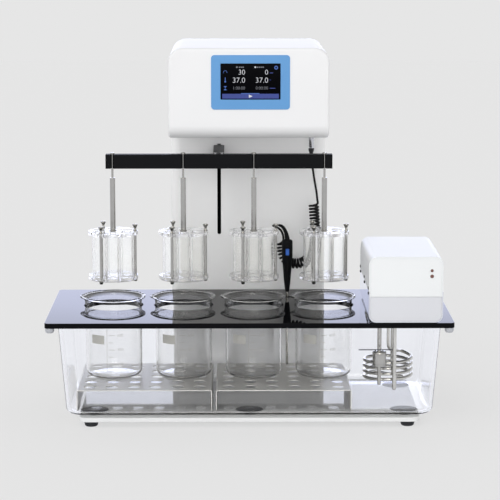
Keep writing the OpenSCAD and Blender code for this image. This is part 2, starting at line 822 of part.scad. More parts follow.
module tray(x) {
    translate([x, tray_y, floor_z]) {
        difference() {
            translate([-tray_w / 2, -tray_d / 2, tray_h - tray_t]) cube([tray_w, tray_d, tray_t]);
            for (i = [0:tray_cols - 1], j = [0:tray_rows - 1])
                translate([(i - (tray_cols - 1) / 2) * tray_pitch_x, (j - (tray_rows - 1) / 2) * tray_pitch_y,
                    tray_h - tray_t - 1]) cylinder(d = tray_hole_d, h = tray_t + 2, $fn = 32);
        }
        for (side = [-1, 1]) translate([side * (tray_w - tray_t) / 2, 0, 0])
            across(tray_t) translate([-tray_d / 2, 0])
                soft_rect(tray_d, tray_h - tray_t, [tray_side_r, tray_side_r, 0, 0]);
    }
}

module beaker_tray_left() color("lightgray") at_lid() tray(tray_left_x);
module beaker_tray_right() color("lightgray") at_lid() tray(tray_right_x);

module lid() color([0.2, 0.2, 0.27]) at_lid()
    translate([0, 0, lid_z]) difference() {
        soft_plate(lid_w, lid_d, lid_t, lid_r);
        for (i = [0:3]) translate([row_x0 + i * row_pitch, row_back, -1])
            cylinder(d = lid_hole_d, h = lid_t + 2);
        translate([probe_x, probe_y, -1]) cylinder(d = probe_hole_d, h = lid_t + 2);
        translate([well_x0, well_y0, -1]) cube([well_x1 - well_x0, well_y1 - well_y0, lid_t + 2]);
    }

module lid_buffers() color([0.7, 0.7, 0.75]) at_lid()
    for (x = [-1, 1], y = [-1, 1])
        translate([x * (lid_w / 2 - buffer_inset), y * (lid_d / 2 - buffer_inset), lid_z - buffer_h])
            rotate_extrude() polygon([[0, 0], [buffer_r - 3, 0], [buffer_r - 1.6, 0.8],
                [buffer_r - 0.4, 2.6], [buffer_r, 5], [buffer_r, buffer_h], [0, buffer_h]]);

// ---------- beakers and baskets ----------

// The beaker's half section, wall by wall: outside up, over the bead and down the inside.
module beaker_section() {
    ro = beaker_d / 2;
    ri = ro - beaker_t;
    h = beaker_h;
    polygon(concat([[0, 0]],
        [for (a = [0:15:90]) [ro - beaker_foot_r + beaker_foot_r * sin(a), beaker_foot_r * (1 - cos(a))]],
        [for (a = [0:15:75]) [ro + (flare_w - 1.5) * (1 - cos(a)), h - flare_h + 7 * sin(a)]],
        [for (a = [-45:30:165]) [ro + flare_w - 2 + 2 * cos(a), h - 2 + 2 * sin(a)]],
        [for (a = [60:-15:0]) [ri + (flare_w - 1.5) * (1 - cos(a)), h - flare_h + 7 * sin(a)]],
        [for (a = [90:-15:0]) [ri - (beaker_foot_r - beaker_t) * (1 - sin(a)),
            beaker_t + (beaker_foot_r - beaker_t) * (1 - cos(a))]],
        [[0, beaker_t]]));
}

module beaker(i) color([0.9, 0.95, 1, 0.35]) at_lid()
    translate([row_x0 + i * row_pitch, row_back, beaker_z]) rotate_extrude($fn = 96) beaker_section();

module tube_ring_at() {
    for (k = [0:5]) rotate(30 + 60 * k) translate([tube_ring, 0, 0]) children();
}

module rod_ring_at() {
    for (k = [0:2]) rotate(120 * k) translate([rod_ring, 0, 0]) children();
}

// A plate with six tube seats that open upwards, and holes for the rods.
module basket_plate() {
    difference() {
        cylinder(d = plate_d, h = plate_t);
        tube_ring_at() {
            translate([0, 0, -1]) cylinder(d = plate_hole_d, h = plate_t + 2);
            translate([0, 0, plate_t - tube_seat]) cylinder(d = tube_d, h = tube_seat + 1);
        }
        rod_ring_at() translate([0, 0, -1]) cylinder(d = tie_d, h = plate_t + 2);
    }
}

module basket_plates(i) color([0.9, 0.93, 1, 0.5]) at_lid()
    translate([row_x0 + i * row_pitch, row_back, 0]) {
        translate([0, 0, low_plate_z]) basket_plate();
        translate([0, 0, plate_top]) mirror([0, 0, 1]) basket_plate();
    }

module basket_tubes(i) color([0.85, 0.9, 1, 0.4]) at_lid()
    translate([row_x0 + i * row_pitch, row_back, low_plate_z + plate_t - tube_seat])
        tube_ring_at() ring(tube_d, tube_bore, tube_l);

module thumb_knob() {
    rotate_extrude() polygon([[0, 0], [3, 0], [3, 1.5], [2.2, 2.5], [2.2, 4.5], [5, 10.5], [5, 11.5],
        [4.2, 12.2], [0, 12.2]]);
}

module basket_frame(i) color("silver") at_lid()
    translate([row_x0 + i * row_pitch, row_back, 0]) {
        translate([0, 0, low_plate_z - mesh_t]) difference() {
            cylinder(d = 2 * (rod_ring + mesh_lap), h = mesh_t);
            rod_ring_at() translate([0, 0, -1]) cylinder(d = tie_d, h = mesh_t + 2);
        }
        rod_ring_at() {
            translate([0, 0, low_plate_z - mesh_t])
                cylinder(d = tie_d, h = plate_top - low_plate_z + mesh_t);
            translate([0, 0, low_plate_z - mesh_t - nut_h])
                cylinder(d1 = tie_d + 0.5, d2 = tie_d + 2.5, h = nut_h);
            translate([0, 0, plate_top]) thumb_knob();
        }
        translate([0, 0, plate_top]) cylinder(d = hanger_d, h = hanger_l);
        translate([0, 0, plate_top]) cylinder(d = rod_d, h = basket_drop + rest_gap + 1);
        translate([0, 0, beam_top + rest_gap]) cylinder(d = hook_d, h = hook_h);
    }

// ---------- heater and pump ----------

module heater_outline(inset) {
    r = heater_r - inset;
    translate([heater_left + inset, lid_top + inset])
        soft_rect(heater_w - 2 * inset, heater_h - 2 * inset, [r, r, r, r]);
}

module heater_side(inset) {
    translate([heater_y + inset, lid_top + inset]) soft_rect(heater_d - 2 * inset, heater_h - 2 * inset,
        [0, 0, heater_back_r - inset, 0]);
}

module heater_form(inset) {
    intersection() {
        translate([0, heater_y + inset, 0]) upright(heater_d - 2 * inset) heater_outline(inset);
        translate([heater_left + heater_w / 2, 0, 0]) across(heater_w + 2) heater_side(inset);
    }
}

module heater_half(low) {
    seam = lid_top + heater_base_h;
    difference() {
        heater_form(0);
        heater_form(heater_t);
        translate([heater_left - 1, heater_y - 1, low ? seam : 0])
            cube([heater_w + 2, heater_d + 2, low ? heater_h : seam]);
    }
}

module heater_base() color([0.87, 0.87, 0.9]) at_lid()
    difference() {
        heater_half(true);
        translate([pump_x, pump_y, lid_top - 1]) cylinder(d = pump_shaft_d + 2, h = heater_t + 2);
    }

module heater_cover() color("white") at_lid()
    difference() {
        heater_half(false);
        for (i = [0, 1]) translate([lamp_x, heater_y - 1, lamp_z - lamp_pitch * i])
            upright(heater_t + 2) circle(d = lamp_d);
        for (y = [dot_inset, heater_d / 2, heater_d - dot_inset], z = [dot_low, dot_low + dot_pitch])
            translate([heater_left + 1, heater_y + y, lid_top + heater_base_h + z]) rotate([0, -90, 0])
                cylinder(d = dot_d, h = heater_t);
    }

module heater_lamps() color([0.35, 0.2, 0.18]) at_lid()
    for (i = [0, 1]) translate([lamp_x, heater_y - 0.4, lamp_z - lamp_pitch * i]) {
        upright(heater_t + 0.4) circle(d = lamp_d);
        translate([0, heater_t + 0.4, 0]) upright(2) circle(d = lamp_d + 2);
    }

// Down one leg, round the turns and up the other leg.
function coil_line() = let (r = (coil_d - coil_tube_d) / 2, top = coil_low_z + coil_pitch * coil_turns)
    concat(
        [[coil_x, coil_y - 6, lid_top], [coil_x, coil_y - 6, top + 24],
            [coil_x + 4, coil_y - 2, top + 15], [coil_x + 18, coil_y + 10, top + 8],
            [coil_x + r * cos(50), coil_y + r * sin(50) - 2, top + 3]],
        [for (a = [30:-15:30 - 360 * coil_turns + 60]) [coil_x + r * cos(a), coil_y + r * sin(a),
            top + coil_pitch * (a - 30) / 360]],
        [[coil_x + r * 0.6, coil_y + r * 0.35, coil_low_z - 1],
            [coil_x + 14, coil_y + 8, coil_low_z + 2],
            [coil_x + 8, coil_y + 7, coil_low_z + 12], [coil_x + 8, coil_y + 7, lid_top]]);

module heater_coil() color("silver") at_lid() {
    p = coil_line();
    tube_along(p, even(p, coil_tube_d / 2), 10);
    translate([sensor_x, pump_y + 2, coil_low_z - sensor_drop])
        cylinder(d = sensor_d, h = lid_top - coil_low_z + sensor_drop);
}

module pump_motor() color("dimgray") at_lid()
    translate([pump_x, pump_y, lid_top + heater_t]) difference() {
        union() {
            cylinder(d = pump_neck_d, h = pump_neck_h);
            translate([0, 0, pump_neck_h]) cylinder(d = pump_motor_d, h = pump_motor_h);
        }
        translate([0, 0, -1]) cylinder(d = pump_shaft_d + 2 * run_gap, h = pump_shaft_in + 6);
    }

module pump_housing() color("silver") at_lid()
    translate([pump_x, pump_y, 0]) difference() {
        union() {
            translate([0, 0, pump_z]) cylinder(d = pump_d, h = pump_h);
            translate([0, 0, pump_z]) cylinder(d = pump_tube_d, h = lid_top - pump_z);
            translate([0, 0, pump_z - outlet_l]) cylinder(d = outlet_d, h = outlet_l + 1);
        }
        translate([0, 0, pump_z + 3]) cylinder(d = pump_d - 5, h = pump_h - 6);
        translate([0, 0, pump_z + 1]) cylinder(d = pump_shaft_d + 2 * run_gap, h = lid_top);
        translate([0, 0, pump_z - outlet_l - 1]) cylinder(d = outlet_d - 2.4, h = outlet_l + 5);
    }

module pump_rotor() color("gray") at_lid()
    translate([pump_x, pump_y, 0]) {
        translate([0, 0, pump_z + 5])
            cylinder(d = pump_shaft_d, h = lid_top + heater_t + pump_shaft_in - pump_z - 5);
        translate([0, 0, pump_z + 8]) difference() {
            cylinder(d = pump_d - 7, h = 8);
            for (a = [0:60:300]) rotate(a) translate([4, -1.5, 1]) cube([20, 3, 8]);
        }
    }

// ---------- probe and its lead ----------

module probe_handle() color([0.1, 0.1, 0.11]) at_lid()
    translate([probe_x, probe_y, 0]) difference() {
        translate([0, 0, handle_z]) rotate_extrude() polygon([[0, 0], [3.6, 0], [4.2, 4], [6, 18],
            [handle_d / 2 - 1.6, handle_l * 0.51], [handle_d / 2, handle_l * 0.71],
            [handle_d / 2, handle_l - 2], [handle_d / 2 - 2, handle_l], [0, handle_l]]);
        translate([0, 0, handle_z - 1]) cylinder(d = stem_d, h = stem_in + 1);
        translate([-button_w / 2 - rest_gap, -handle_d, button_z - button_l / 2 - rest_gap])
            cube([button_w + 2 * rest_gap, handle_d - 5, button_l + 2 * rest_gap]);
    }

module probe_stem() color("silver") at_lid()
    translate([probe_x, probe_y, tray_z + rest_gap])
        cylinder(d = stem_d, h = handle_z + stem_in - tray_z - rest_gap);

module probe_button() color("royalblue") at_lid()
    translate([probe_x - button_w / 2, probe_y - handle_d / 2 - 1.2, button_z - button_l / 2])
        cube([button_w, handle_d / 2 + 1.2 - 5 - button_travel - rest_gap, button_l]);

module probe_relief() color([0.1, 0.1, 0.11]) at_lid() {
    p = smooth_line(RELIEF_ROUTE, 3);
    n = len(p) - 1;
    tube_along(p, [for (i = [0:n]) lead_d / 2 + 0.2 + 2.2 * i / n], 10);
}

module cord_lead() color([0.08, 0.08, 0.08]) at_lid() {
    p = smooth_line(LEAD_ROUTE, 2);
    tube_along(p, even(p, lead_d / 2), 8);
}

module cord_curl() color([0.08, 0.08, 0.08]) at_lid() {
    p = smooth_line(CURL_ROUTE, 2);
    tube_along(p, even(p, curl_d / 2), 12);
}

module cord_hook() color([0.08, 0.08, 0.08]) at_lid() {
    p = smooth_line(HOOK_ROUTE, 3);
    tube_along(p, even(p, lead_d / 2), 8);
}

base_plate();
rubber_feet();
tower_shell();
rear_cover();
head_shell();
display_bezel();
display_panel();
control_board();
power_supply();
power_inlet();
power_switch();
probe_socket();
slot_seal();
drive_frame();
drive_motor();
guide_rods();
screw_bearings();
shaft_coupling();
lead_screw();
carriage();
carriage_bushes();
lift_arm();
lift_beam();
beam_screws();
bath();
bath_pads();
beaker_tray_left();
beaker_tray_right();
lid();
lid_buffers();
for (i = [0:3]) {
    beaker(i);
    basket_plates(i);
    basket_tubes(i);
    basket_frame(i);
}
heater_base();
heater_cover();
heater_lamps();
heater_coil();
pump_motor();
pump_housing();
pump_rotor();
probe_handle();
probe_stem();
probe_button();
probe_relief();
cord_lead();
cord_curl();
cord_hook();
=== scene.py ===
"""Looks of the tablet disintegration tester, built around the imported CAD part.

All sizes below are in mm in the lid's own coordinates: x to the right and y to the back,
counted from the lid's middle, and z upwards from the bench. at() turns them into the part frame.
"""
import math
from collections import Counter

import bmesh
import bpy
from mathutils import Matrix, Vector
from mathutils.geometry import tessellate_polygon


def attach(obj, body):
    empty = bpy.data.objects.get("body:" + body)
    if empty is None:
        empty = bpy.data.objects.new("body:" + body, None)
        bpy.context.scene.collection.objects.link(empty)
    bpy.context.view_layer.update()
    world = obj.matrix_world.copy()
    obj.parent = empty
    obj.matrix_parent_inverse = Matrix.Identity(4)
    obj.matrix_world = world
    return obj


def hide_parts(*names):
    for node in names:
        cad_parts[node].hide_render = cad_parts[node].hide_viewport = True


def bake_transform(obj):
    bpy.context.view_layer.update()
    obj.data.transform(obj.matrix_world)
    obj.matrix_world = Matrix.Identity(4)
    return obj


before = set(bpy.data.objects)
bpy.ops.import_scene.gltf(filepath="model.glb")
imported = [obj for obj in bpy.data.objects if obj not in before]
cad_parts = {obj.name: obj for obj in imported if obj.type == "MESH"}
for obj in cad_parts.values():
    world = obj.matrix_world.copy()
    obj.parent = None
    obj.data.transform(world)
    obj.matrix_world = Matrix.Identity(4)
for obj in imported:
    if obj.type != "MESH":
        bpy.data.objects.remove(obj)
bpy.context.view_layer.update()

MM = 0.001
TAU = 2 * math.pi

# Places in mm: the lid's middle in the part frame, the row of beakers and baskets, the lift arm,
# the column and the head, and the heights of the decks.
LID_Y = -63.75
ROW_X = (-247, -119, 9, 137)
ROW_Y = 10
LIFT_X = -55
COLUMN_X = 145.5
FACE_Y = 168
BACK_Y = 290
HEAD_Y = 11
HEAD_Z = 498
HEAD_TOP = 662
DECK_Z = 18.8
BATH_Z = 20
FLOOR_Z = 25
TRAY_Z = 64.6
RIM_Z = 184.3
LID_Z = 184.6
LID_TOP = 193.8
BEAM_Z = 445
BEAM_TOP = 470.6
SOCKET_SPOT = (117, 120, 0)
PROBE_SPOT = (72, 86, 0)


def at(x, y, z):
    """A place given in mm in lid coordinates, in metres in the part frame."""
    return Vector((x * MM, (y + LID_Y) * MM, z * MM))


# ---------- outlines ----------


def arc(cx, cy, r, start, end, steps):
    """Points on an arc, from start to end in degrees."""
    angles = [math.radians(start + (end - start) * i / steps) for i in range(steps + 1)]
    return [(cx + r * math.cos(a), cy + r * math.sin(a)) for a in angles]


def circle(cx, cy, r, sides=48):
    """A closed loop round a centre, anticlockwise."""
    return arc(cx, cy, r, 0, 360 * (sides - 1) / sides, sides - 1)


def box(x0, y0, x1, y1, radii=0, steps=8):
    """A rectangle, anticlockwise from its low left corner, with one radius or four."""
    r = radii if isinstance(radii, (tuple, list)) else (radii,) * 4
    if not any(r):
        return [(x0, y0), (x1, y0), (x1, y1), (x0, y1)]
    loop = arc(x0 + r[0], y0 + r[0], r[0], 180, 270, steps)
    loop += arc(x1 - r[1], y0 + r[1], r[1], 270, 360, steps)
    loop += arc(x1 - r[2], y1 - r[2], r[2], 0, 90, steps)
    loop += arc(x0 + r[3], y1 - r[3], r[3], 90, 180, steps)
    return loop


def slot(cx, cy, length, height):
    """A long hole with round ends."""
    r = height / 2
    return box(cx - length / 2 - r, cy - r, cx + length / 2 + r, cy + r, r)


def rounded(corners, steps):
    """A loop through corners (x, y, radius), each rounded to its radius."""
    loop = []
    for i, (x, y, r) in enumerate(corners):
        if not r:
            loop.append((x, y))
            continue
        here = Vector((x, y))
        back = (Vector(corners[i - 1][:2]) - here).normalized()
        ahead = (Vector(corners[(i + 1) % len(corners)][:2]) - here).normalized()
        half = back.angle(ahead) / 2
        centre = here + (back + ahead).normalized() * (r / math.sin(half))
        first = here + back * (r / math.tan(half)) - centre
        last = here + ahead * (r / math.tan(half)) - centre
        turn = first.angle_signed(last)
        for k in range(steps + 1):
            a = -turn * k / steps
            spin = (first.x * math.cos(a) - first.y * math.sin(a),
                    first.x * math.sin(a) + first.y * math.cos(a))
            loop.append((centre.x + spin[0], centre.y + spin[1]))
    return loop


def inset(loop, distance):
    """The loop moved inwards by a distance. The loop runs anticlockwise."""
    if not distance:
        return list(loop)
    moved = []
    for i, (x, y) in enumerate(loop):
        before = Vector((x, y)) - Vector(loop[i - 1])
        after = Vector(loop[(i + 1) % len(loop)]) - Vector((x, y))
        if before.length < 1e-9:
            before = after
        if after.length < 1e-9:
            after = before
        a = Vector((-before.y, before.x)).normalized()
        b = Vector((-after.y, after.x)).normalized()
        lean = (a + b) / max(1 + a.dot(b), 0.2)
        moved.append((x + lean.x * distance, y + lean.y * distance))
    return moved


def soft(low, high, r_low, r_high, steps=3):
    """Wall steps (place, inset) between two ends with rounded edges."""
    wall = [(low + r_low * (1 - math.cos(a)), r_low * (1 - math.sin(a)))
            for a in (math.pi / 2 * k / steps for k in range(steps + 1))] if r_low else [(low, 0)]
    if r_high:
        wall += [(high - r_high * (1 - math.cos(a)), r_high * (1 - math.sin(a)))
                 for a in (math.pi / 2 * (1 - k / steps) for k in range(steps + 1))]
    else:
        wall.append((high, 0))
    return wall


def catmull(points, steps):
    """A smooth line through the points, with some steps between two of them."""
    line = []
    last = len(points) - 1
    for i in range(last):
        a, b = Vector(points[max(i - 1, 0)]), Vector(points[i])
        c, d = Vector(points[i + 1]), Vector(points[min(i + 2, last)])
        for k in range(steps):
            t = k / steps
            line.append(0.5 * (2 * b + (c - a) * t + (2 * a - 5 * b + 4 * c - d) * t * t
                               + (3 * b - a - 3 * c + d) * t ** 3))
    return line + [Vector(points[-1])]


def lie(axis, u, v, w):
    """A point (u, v) of an outline at the place w along the axis."""
    return {"z": (u, v, w), "y": (u, w, v), "x": (w, u, v)}[axis]


def frames(line):
    """Two side directions at each point, turned as little as possible along the line."""
    side = None
    out = []
    for i in range(len(line)):
        ahead = (line[min(i + 1, len(line) - 1)] - line[max(i - 1, 0)]).normalized()
        if side is None:
            side = ahead.cross(Vector((0.3, 1, 0.2))).normalized()
        side = (side - ahead * side.dot(ahead)).normalized()
        out.append((side, ahead.cross(side)))
    return out


class Form:
    """Points in mm and faces, each with the number of its material."""

    def __init__(self):
        self.points = []
        self.faces = []
        self.skins = []

    def add(self, points, faces, skin=0):
        first = len(self.points)
        self.points += [tuple(p) for p in points]
        self.faces += [tuple(first + i for i in face) for face in faces]
        self.skins += [skin] * len(faces)
        return self

    def rings(self, rings, caps=(True, True), skin=0, wrap=False):
        """Joins closed rings of equal length one after another."""
        n = len(rings[0])
        count = len(rings)
        faces = []
        for r in range(count if wrap else count - 1):
            low, high = r * n, ((r + 1) % count) * n
            faces += [(low + k, low + (k + 1) % n, high + (k + 1) % n, high + k) for k in range(n)]
        if caps[0] and not wrap:
            faces.append(tuple(reversed(range(n))))
        if caps[1] and not wrap:
            faces.append(tuple((count - 1) * n + k for k in range(n)))
        return self.add([p for ring in rings for p in ring], faces, skin)

    def lathe(self, section, centre=(0, 0, 0), axis="z", sides=48, wrap=False):
        """Turns a section of (radius, height) points about an axis through the centre."""
        rings = []
        for r, h in section:
            ring = [lie(axis, u, v, h) for u, v in circle(0, 0, r, sides)]
            rings.append([tuple(p[i] + centre[i] for i in range(3)) for p in ring])
        return self.rings(rings, caps=(section[0][0] > 0, section[-1][0] > 0), wrap=wrap)

    def slab(self, outline, wall, holes=(), axis="z", skin=0):
        """A plate: wall holds (place, inset) steps, and holes are (loop, wall) pairs."""
        ends = []
        for loop, steps, way in [(outline, wall, 1)] + [(h, w or wall, -1) for h, w in holes]:
            rings = [[lie(axis, u, v, place) for u, v in inset(loop, way * step)]
                     for place, step in steps]
            self.rings(rings, caps=(False, False), skin=skin)
            ends.append((rings[0], rings[-1]))
        for side in (0, 1):
            loops = [[Vector(p) for p in pair[side]] for pair in ends]
            flat = [p for loop in loops for p in loop]
            faces = [tuple(t) for t in tessellate_polygon(loops)] if holes else [tuple(range(len(flat)))]
            self.add(flat, faces, skin)
        return self

    def tube(self, line, radius, sides):
        """A round tube along a line, with one radius or one for each point."""
        radii = radius if isinstance(radius, (tuple, list)) else [radius] * len(line)
        rings = []
        for point, (a, b), r in zip(line, frames(line), radii):
            spots = circle(0, 0, r, sides)
            rings.append([tuple(point + a * u + b * v) for u, v in spots])
        return self.rings(rings)

    def letters(self, text, place, base, height, depth, right=None, left=0, skin=0):
        """Raised characters. place(u, v, w) gives the point for a spot of the writing."""
        curve = bpy.data.curves.new("letters", "FONT")
        curve.body = text
        curve.extrude = 0.5
        curve.resolution_u = 4
        curve.offset = -0.014
        thing = bpy.data.objects.new("letters", curve)
        bpy.context.collection.objects.link(thing)
        mesh = bpy.data.meshes.new_from_object(thing.evaluated_get(bpy.context.evaluated_depsgraph_get()))
        spots = [v.co.copy() for v in mesh.vertices]
        faces = [tuple(f.vertices) for f in mesh.polygons]
        bpy.data.objects.remove(thing)
        bpy.data.curves.remove(curve)
        bpy.data.meshes.remove(mesh)
        lows = [min(p[i] for p in spots) for i in range(2)]
        highs = [max(p[i] for p in spots) for i in range(2)]
        scale = height / (highs[1] - lows[1])
        shift = left - lows[0] * scale if right is None else right - highs[0] * scale
        points = [place(p.x * scale + shift, (p.y - lows[1]) * scale + base, p.z * 2 * depth) for p in spots]
        return self.add(points, faces, skin)


def solid_mesh(name, form, kept=None):
    """The form as a mesh, with doubled points joined and the faces turned outwards."""
    kept = range(len(form.faces)) if kept is None else kept
    mesh = bpy.data.meshes.new(name)
    mesh.from_pydata([at(*p) for p in form.points], [], [form.faces[i] for i in kept])
    for face, i in zip(mesh.polygons, kept):
        face.material_index = form.skins[i]
    build = bmesh.new()
    build.from_mesh(mesh)
    bmesh.ops.remove_doubles(build, verts=build.verts, dist=1e-6)
    bmesh.ops.recalc_face_normals(build, faces=build.faces)
    build.to_mesh(mesh)
    build.free()
    return mesh


def make(name, form, *where, **how):
    """Turns a form into a piece. Faces that lie on each other, where two parts of it meet, go."""
    keys = [frozenset(tuple(round(c, 4) for c in form.points[i]) for i in face) for face in form.faces]
    met = Counter(keys)
    kept = [i for i, key in enumerate(keys) if met[key] == 1]
    return place_piece(name, solid_mesh(name, form, kept), *where, **how)


def place_piece(name, mesh, body, slot_name, skins, replaces=(), crease=35, shift=(0, 0, 0), weigh=True):
    """Shows a mesh as a piece that rides on a body and stands for some CAD nodes.

    Its edges stay crisp above the crease angle, in degrees.
    """
    piece = bpy.data.objects.new(name, mesh)
    bpy.context.collection.objects.link(piece)
    piece.location = Vector(shift) * MM
    if not mesh.materials:
        for skin in skins:
            mesh.materials.append(skin)
        mesh.shade_smooth()
        mesh.set_sharp_from_angle(angle=math.radians(crease))
    if weigh:
        piece.modifiers.new("even_shading", "WEIGHTED_NORMAL").keep_sharp = True
    if body:
        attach(piece, body)
    for node in replaces:
        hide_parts(node)
    return piece


def carve(form, cutter):
    """The form with the cutter taken away, as a mesh."""
    things = []
    for shape in (form, cutter):
        thing = bpy.data.objects.new("carve", solid_mesh("carve", shape))
        bpy.context.collection.objects.link(thing)
        things.append(thing)
    away = things[0].modifiers.new("away", "BOOLEAN")
    away.object = things[1]
    away.operation = "DIFFERENCE"
    away.solver = "EXACT"
    graph = bpy.context.evaluated_depsgraph_get()
    result = bpy.data.meshes.new_from_object(things[0].evaluated_get(graph))
    result.materials.clear()
    for thing in things:
        mesh = thing.data
        bpy.data.objects.remove(thing)
        bpy.data.meshes.remove(mesh)
    return result


# ---------- materials ----------


def tone(red, green, blue):
    """A colour given as it shows on a screen, 0 to 255, as linear values."""
    out = []
    for c in (red, green, blue):
        c /= 255
        out.append(c / 12.92 if c <= 0.04045 else ((c + 0.055) / 1.055) ** 2.4)
    return (*out, 1)


def add_node(tree, kind, joins=(), **values):
    """A shader node with some input values, and with (input, output) joins."""
    node = tree.nodes.new("ShaderNode" + kind)
    for name, value in values.items():
        node.inputs[name.replace("_", " ")].default_value = value
    for socket, source in joins:
        tree.links.new(source, node.inputs[socket])
    return node


class Look:
    """A procedural material: a Principled shader whose colour, gloss and relief follow noise."""

    def __init__(self, name):
        self.material = bpy.data.materials.new(name)
        self.material.use_nodes = True
        self.tree = self.material.node_tree
        self.tree.nodes.clear()
        self.shader = self.add("BsdfPrincipled")
        self.out = self.add("OutputMaterial", [("Surface", self.shader.outputs["BSDF"])])
        self.spots = self.add("TexCoord").outputs["Object"]

    def add(self, kind, joins=(), **values):
        return add_node(self.tree, kind, joins, **values)

    def feed(self, socket, output):
        self.tree.links.new(output, self.shader.inputs[socket])
        return self

    def noise(self, scale, stretch=(1, 1, 1), detail=2):
        spread = self.add("Mapping", [("Vector", self.spots)], Scale=stretch)
        noise = self.add("TexNoise", [("Vector", spread.outputs["Vector"])], Scale=scale, Detail=detail)
        return noise.outputs["Fac"]

    def colour(self, low, high, noise, socket="Base Color"):
        ramp = self.add("ValToRGB", [("Fac", noise)])
        for element, position, shade in zip(ramp.color_ramp.elements, (0.3, 0.7), (low, high)):
            element.position = position
            element.color = tone(*shade)
        return self.feed(socket, ramp.outputs["Color"])

    def gloss(self, low, high, noise):
        spread = self.add("MapRange", [("Value", noise)], To_Min=low, To_Max=high)
        return self.feed("Roughness", spread.outputs["Result"])

    def relief(self, depth, noise):
        bump = self.add("Bump", [("Height", noise)], Strength=depth, Distance=0.0003)
        return self.feed("Normal", bump.outputs["Normal"])

    def set(self, **values):
        names = {"metallic": "Metallic", "ior": "IOR", "level": "Specular IOR Level",
                 "clear": "Transmission Weight", "glow": "Emission Strength"}
        for key, value in values.items():
            self.shader.inputs[names[key]].default_value = value
        return self

    def let_light_through(self, tint):
        """Lamps shine through: a shadow ray passes with only a tint."""
        flag = self.add("LightPath").outputs["Is Shadow Ray"]
        passing = self.add("BsdfTransparent", Color=tone(*tint)).outputs["BSDF"]
        seen = mix_by(self.tree, flag, self.shader.outputs["BSDF"], passing)
        self.tree.links.new(seen, self.out.inputs["Surface"])
        return self


def mix_by(tree, flag, usual, special):
    """One shader for the rays that a flag marks, and another for the rest."""
    return add_node(tree, "MixShader", [("Fac", flag), (1, usual), (2, special)]).outputs["Shader"]


def paint(name, low, high, rough, relief=0.0, **values):
    """Paint, plastic or rubber: two close colours, a span of roughness and a fine relief."""
    look = Look(name)
    wide = look.noise(7.5)
    fine = look.noise(720, detail=4)
    look.colour(low, high, wide).gloss(rough[0], rough[1], fine)
    if relief:
        look.relief(relief, fine)
    return look.set(**values).material


def metal(name, low, high, rough, stretch=(1, 1, 1), relief=0.02):
    """Bare metal. stretch draws the grain out along the brushing."""
    look = Look(name)
    grain = look.noise(900, stretch, 3)
    wide = look.noise(30)
    look.colour(low, high, wide).gloss(rough[0], rough[1], grain).relief(relief, grain)
    return look.set(metallic=1).material


def clear(name, low, high, ior=1.49, rough=(0.0, 0.012), share=1.0, **values):
    """Glass or clear plastic. With a share below 1 it is a little milky."""
    look = Look(name)
    wide = look.noise(12)
    look.colour(low, high, wide).gloss(rough[0], rough[1], wide)
    return look.set(clear=share, ior=ior, **values).let_light_through(high).material


WHITE_CASE = paint("white_case", (233, 233, 234), (236, 236, 237), (0.34, 0.42), relief=0.03, ior=1.4)
# The column's white is painted lighter than the head's white. This is painted light that makes up for the
# shade the head casts on the column.
COLUMN_CASE_PAINTED_LIGHT = paint("column_case_painted_light", (243, 243, 243), (246, 246, 246), (0.4, 0.5), relief=0.03)
BASE_PAINT = paint("base_paint", (233, 234, 234), (237, 238, 238), (0.4, 0.5), relief=0.03, ior=1.35)
COVER_PAINT = paint("cover_paint", (222, 224, 227), (226, 227, 230), (0.42, 0.52), relief=0.04)
RUBBER = paint("foot_rubber", (22, 23, 26), (30, 31, 34), (0.6, 0.75), relief=0.15)
PAD = paint("pad_rubber", (54, 55, 60), (62, 63, 68), (0.6, 0.75), relief=0.1)
SEAL = paint("seal_rubber", (3, 3, 5), (6, 6, 8), (0.7, 0.85), relief=0.1, level=0.02)
BEZEL = paint("bezel_blue", (98, 154, 208), (104, 159, 213), (0.4, 0.5), relief=0.02, ior=1.3)
SCREEN = paint("screen_glass", (1, 1, 3), (3, 3, 6), (0.06, 0.1), level=0.03)
BOARD = paint("board_green", (18, 70, 40), (26, 84, 50), (0.4, 0.55), relief=0.1)
SHEET = metal("sheet_steel", (168, 170, 174), (180, 182, 186), (0.3, 0.42))
BLACK_PLASTIC = paint("black_plastic", (18, 18, 20), (25, 25, 28), (0.4, 0.55), relief=0.1)
BEAM_PAINT = paint("beam_paint", (8, 9, 12), (12, 13, 16), (0.4, 0.5), relief=0.05, level=0.08)
BLACK_OXIDE = paint("black_oxide", (5, 5, 7), (9, 9, 11), (0.5, 0.65), relief=0.1, level=0.1)
ARM_PAINT = paint("arm_paint", (44, 45, 49), (52, 53, 57), (0.4, 0.5), relief=0.08)
STEEL = metal("polished_steel", (170, 168, 163), (186, 184, 178), (0.08, 0.14), (1, 1, 0.05))
SIDE_STEEL = metal("mirror_steel", (228, 230, 234), (236, 238, 242), (0.03, 0.06), relief=0.004)
COIL_STEEL = metal("coil_steel", (198, 196, 190), (212, 210, 204), (0.12, 0.2))
BRIGHT = metal("bright_steel", (200, 200, 203), (214, 214, 216), (0.1, 0.18))
TRAY_STEEL = paint("tray_steel", (208, 206, 200), (216, 214, 208), (0.34, 0.44), relief=0.02, metallic=0.4)
ALUMINIUM = metal("drive_aluminium", (180, 182, 186), (196, 198, 202), (0.3, 0.42))
MOTOR = paint("motor_body", (36, 37, 40), (44, 45, 48), (0.4, 0.5), relief=0.1)
BRASS = metal("bush_brass", (186, 150, 84), (200, 164, 98), (0.25, 0.35))
BUFFER = paint("buffer_plastic", (176, 178, 184), (186, 188, 194), (0.35, 0.45), relief=0.03)
HEATER_LOW = paint("heater_low", (214, 215, 220), (217, 218, 223), (0.38, 0.46), relief=0.03, ior=1.4)
HEATER_WHITE = paint("heater_white", (233, 235, 236), (236, 238, 239), (0.3, 0.38), relief=0.02, ior=1.42)
LAMP = paint("lamp_brown", (104, 66, 58), (120, 78, 68), (0.3, 0.4))
PROBE_BLACK = paint("probe_black", (16, 17, 19), (23, 24, 26), (0.45, 0.6), relief=0.06, level=0.15, ior=1.3)
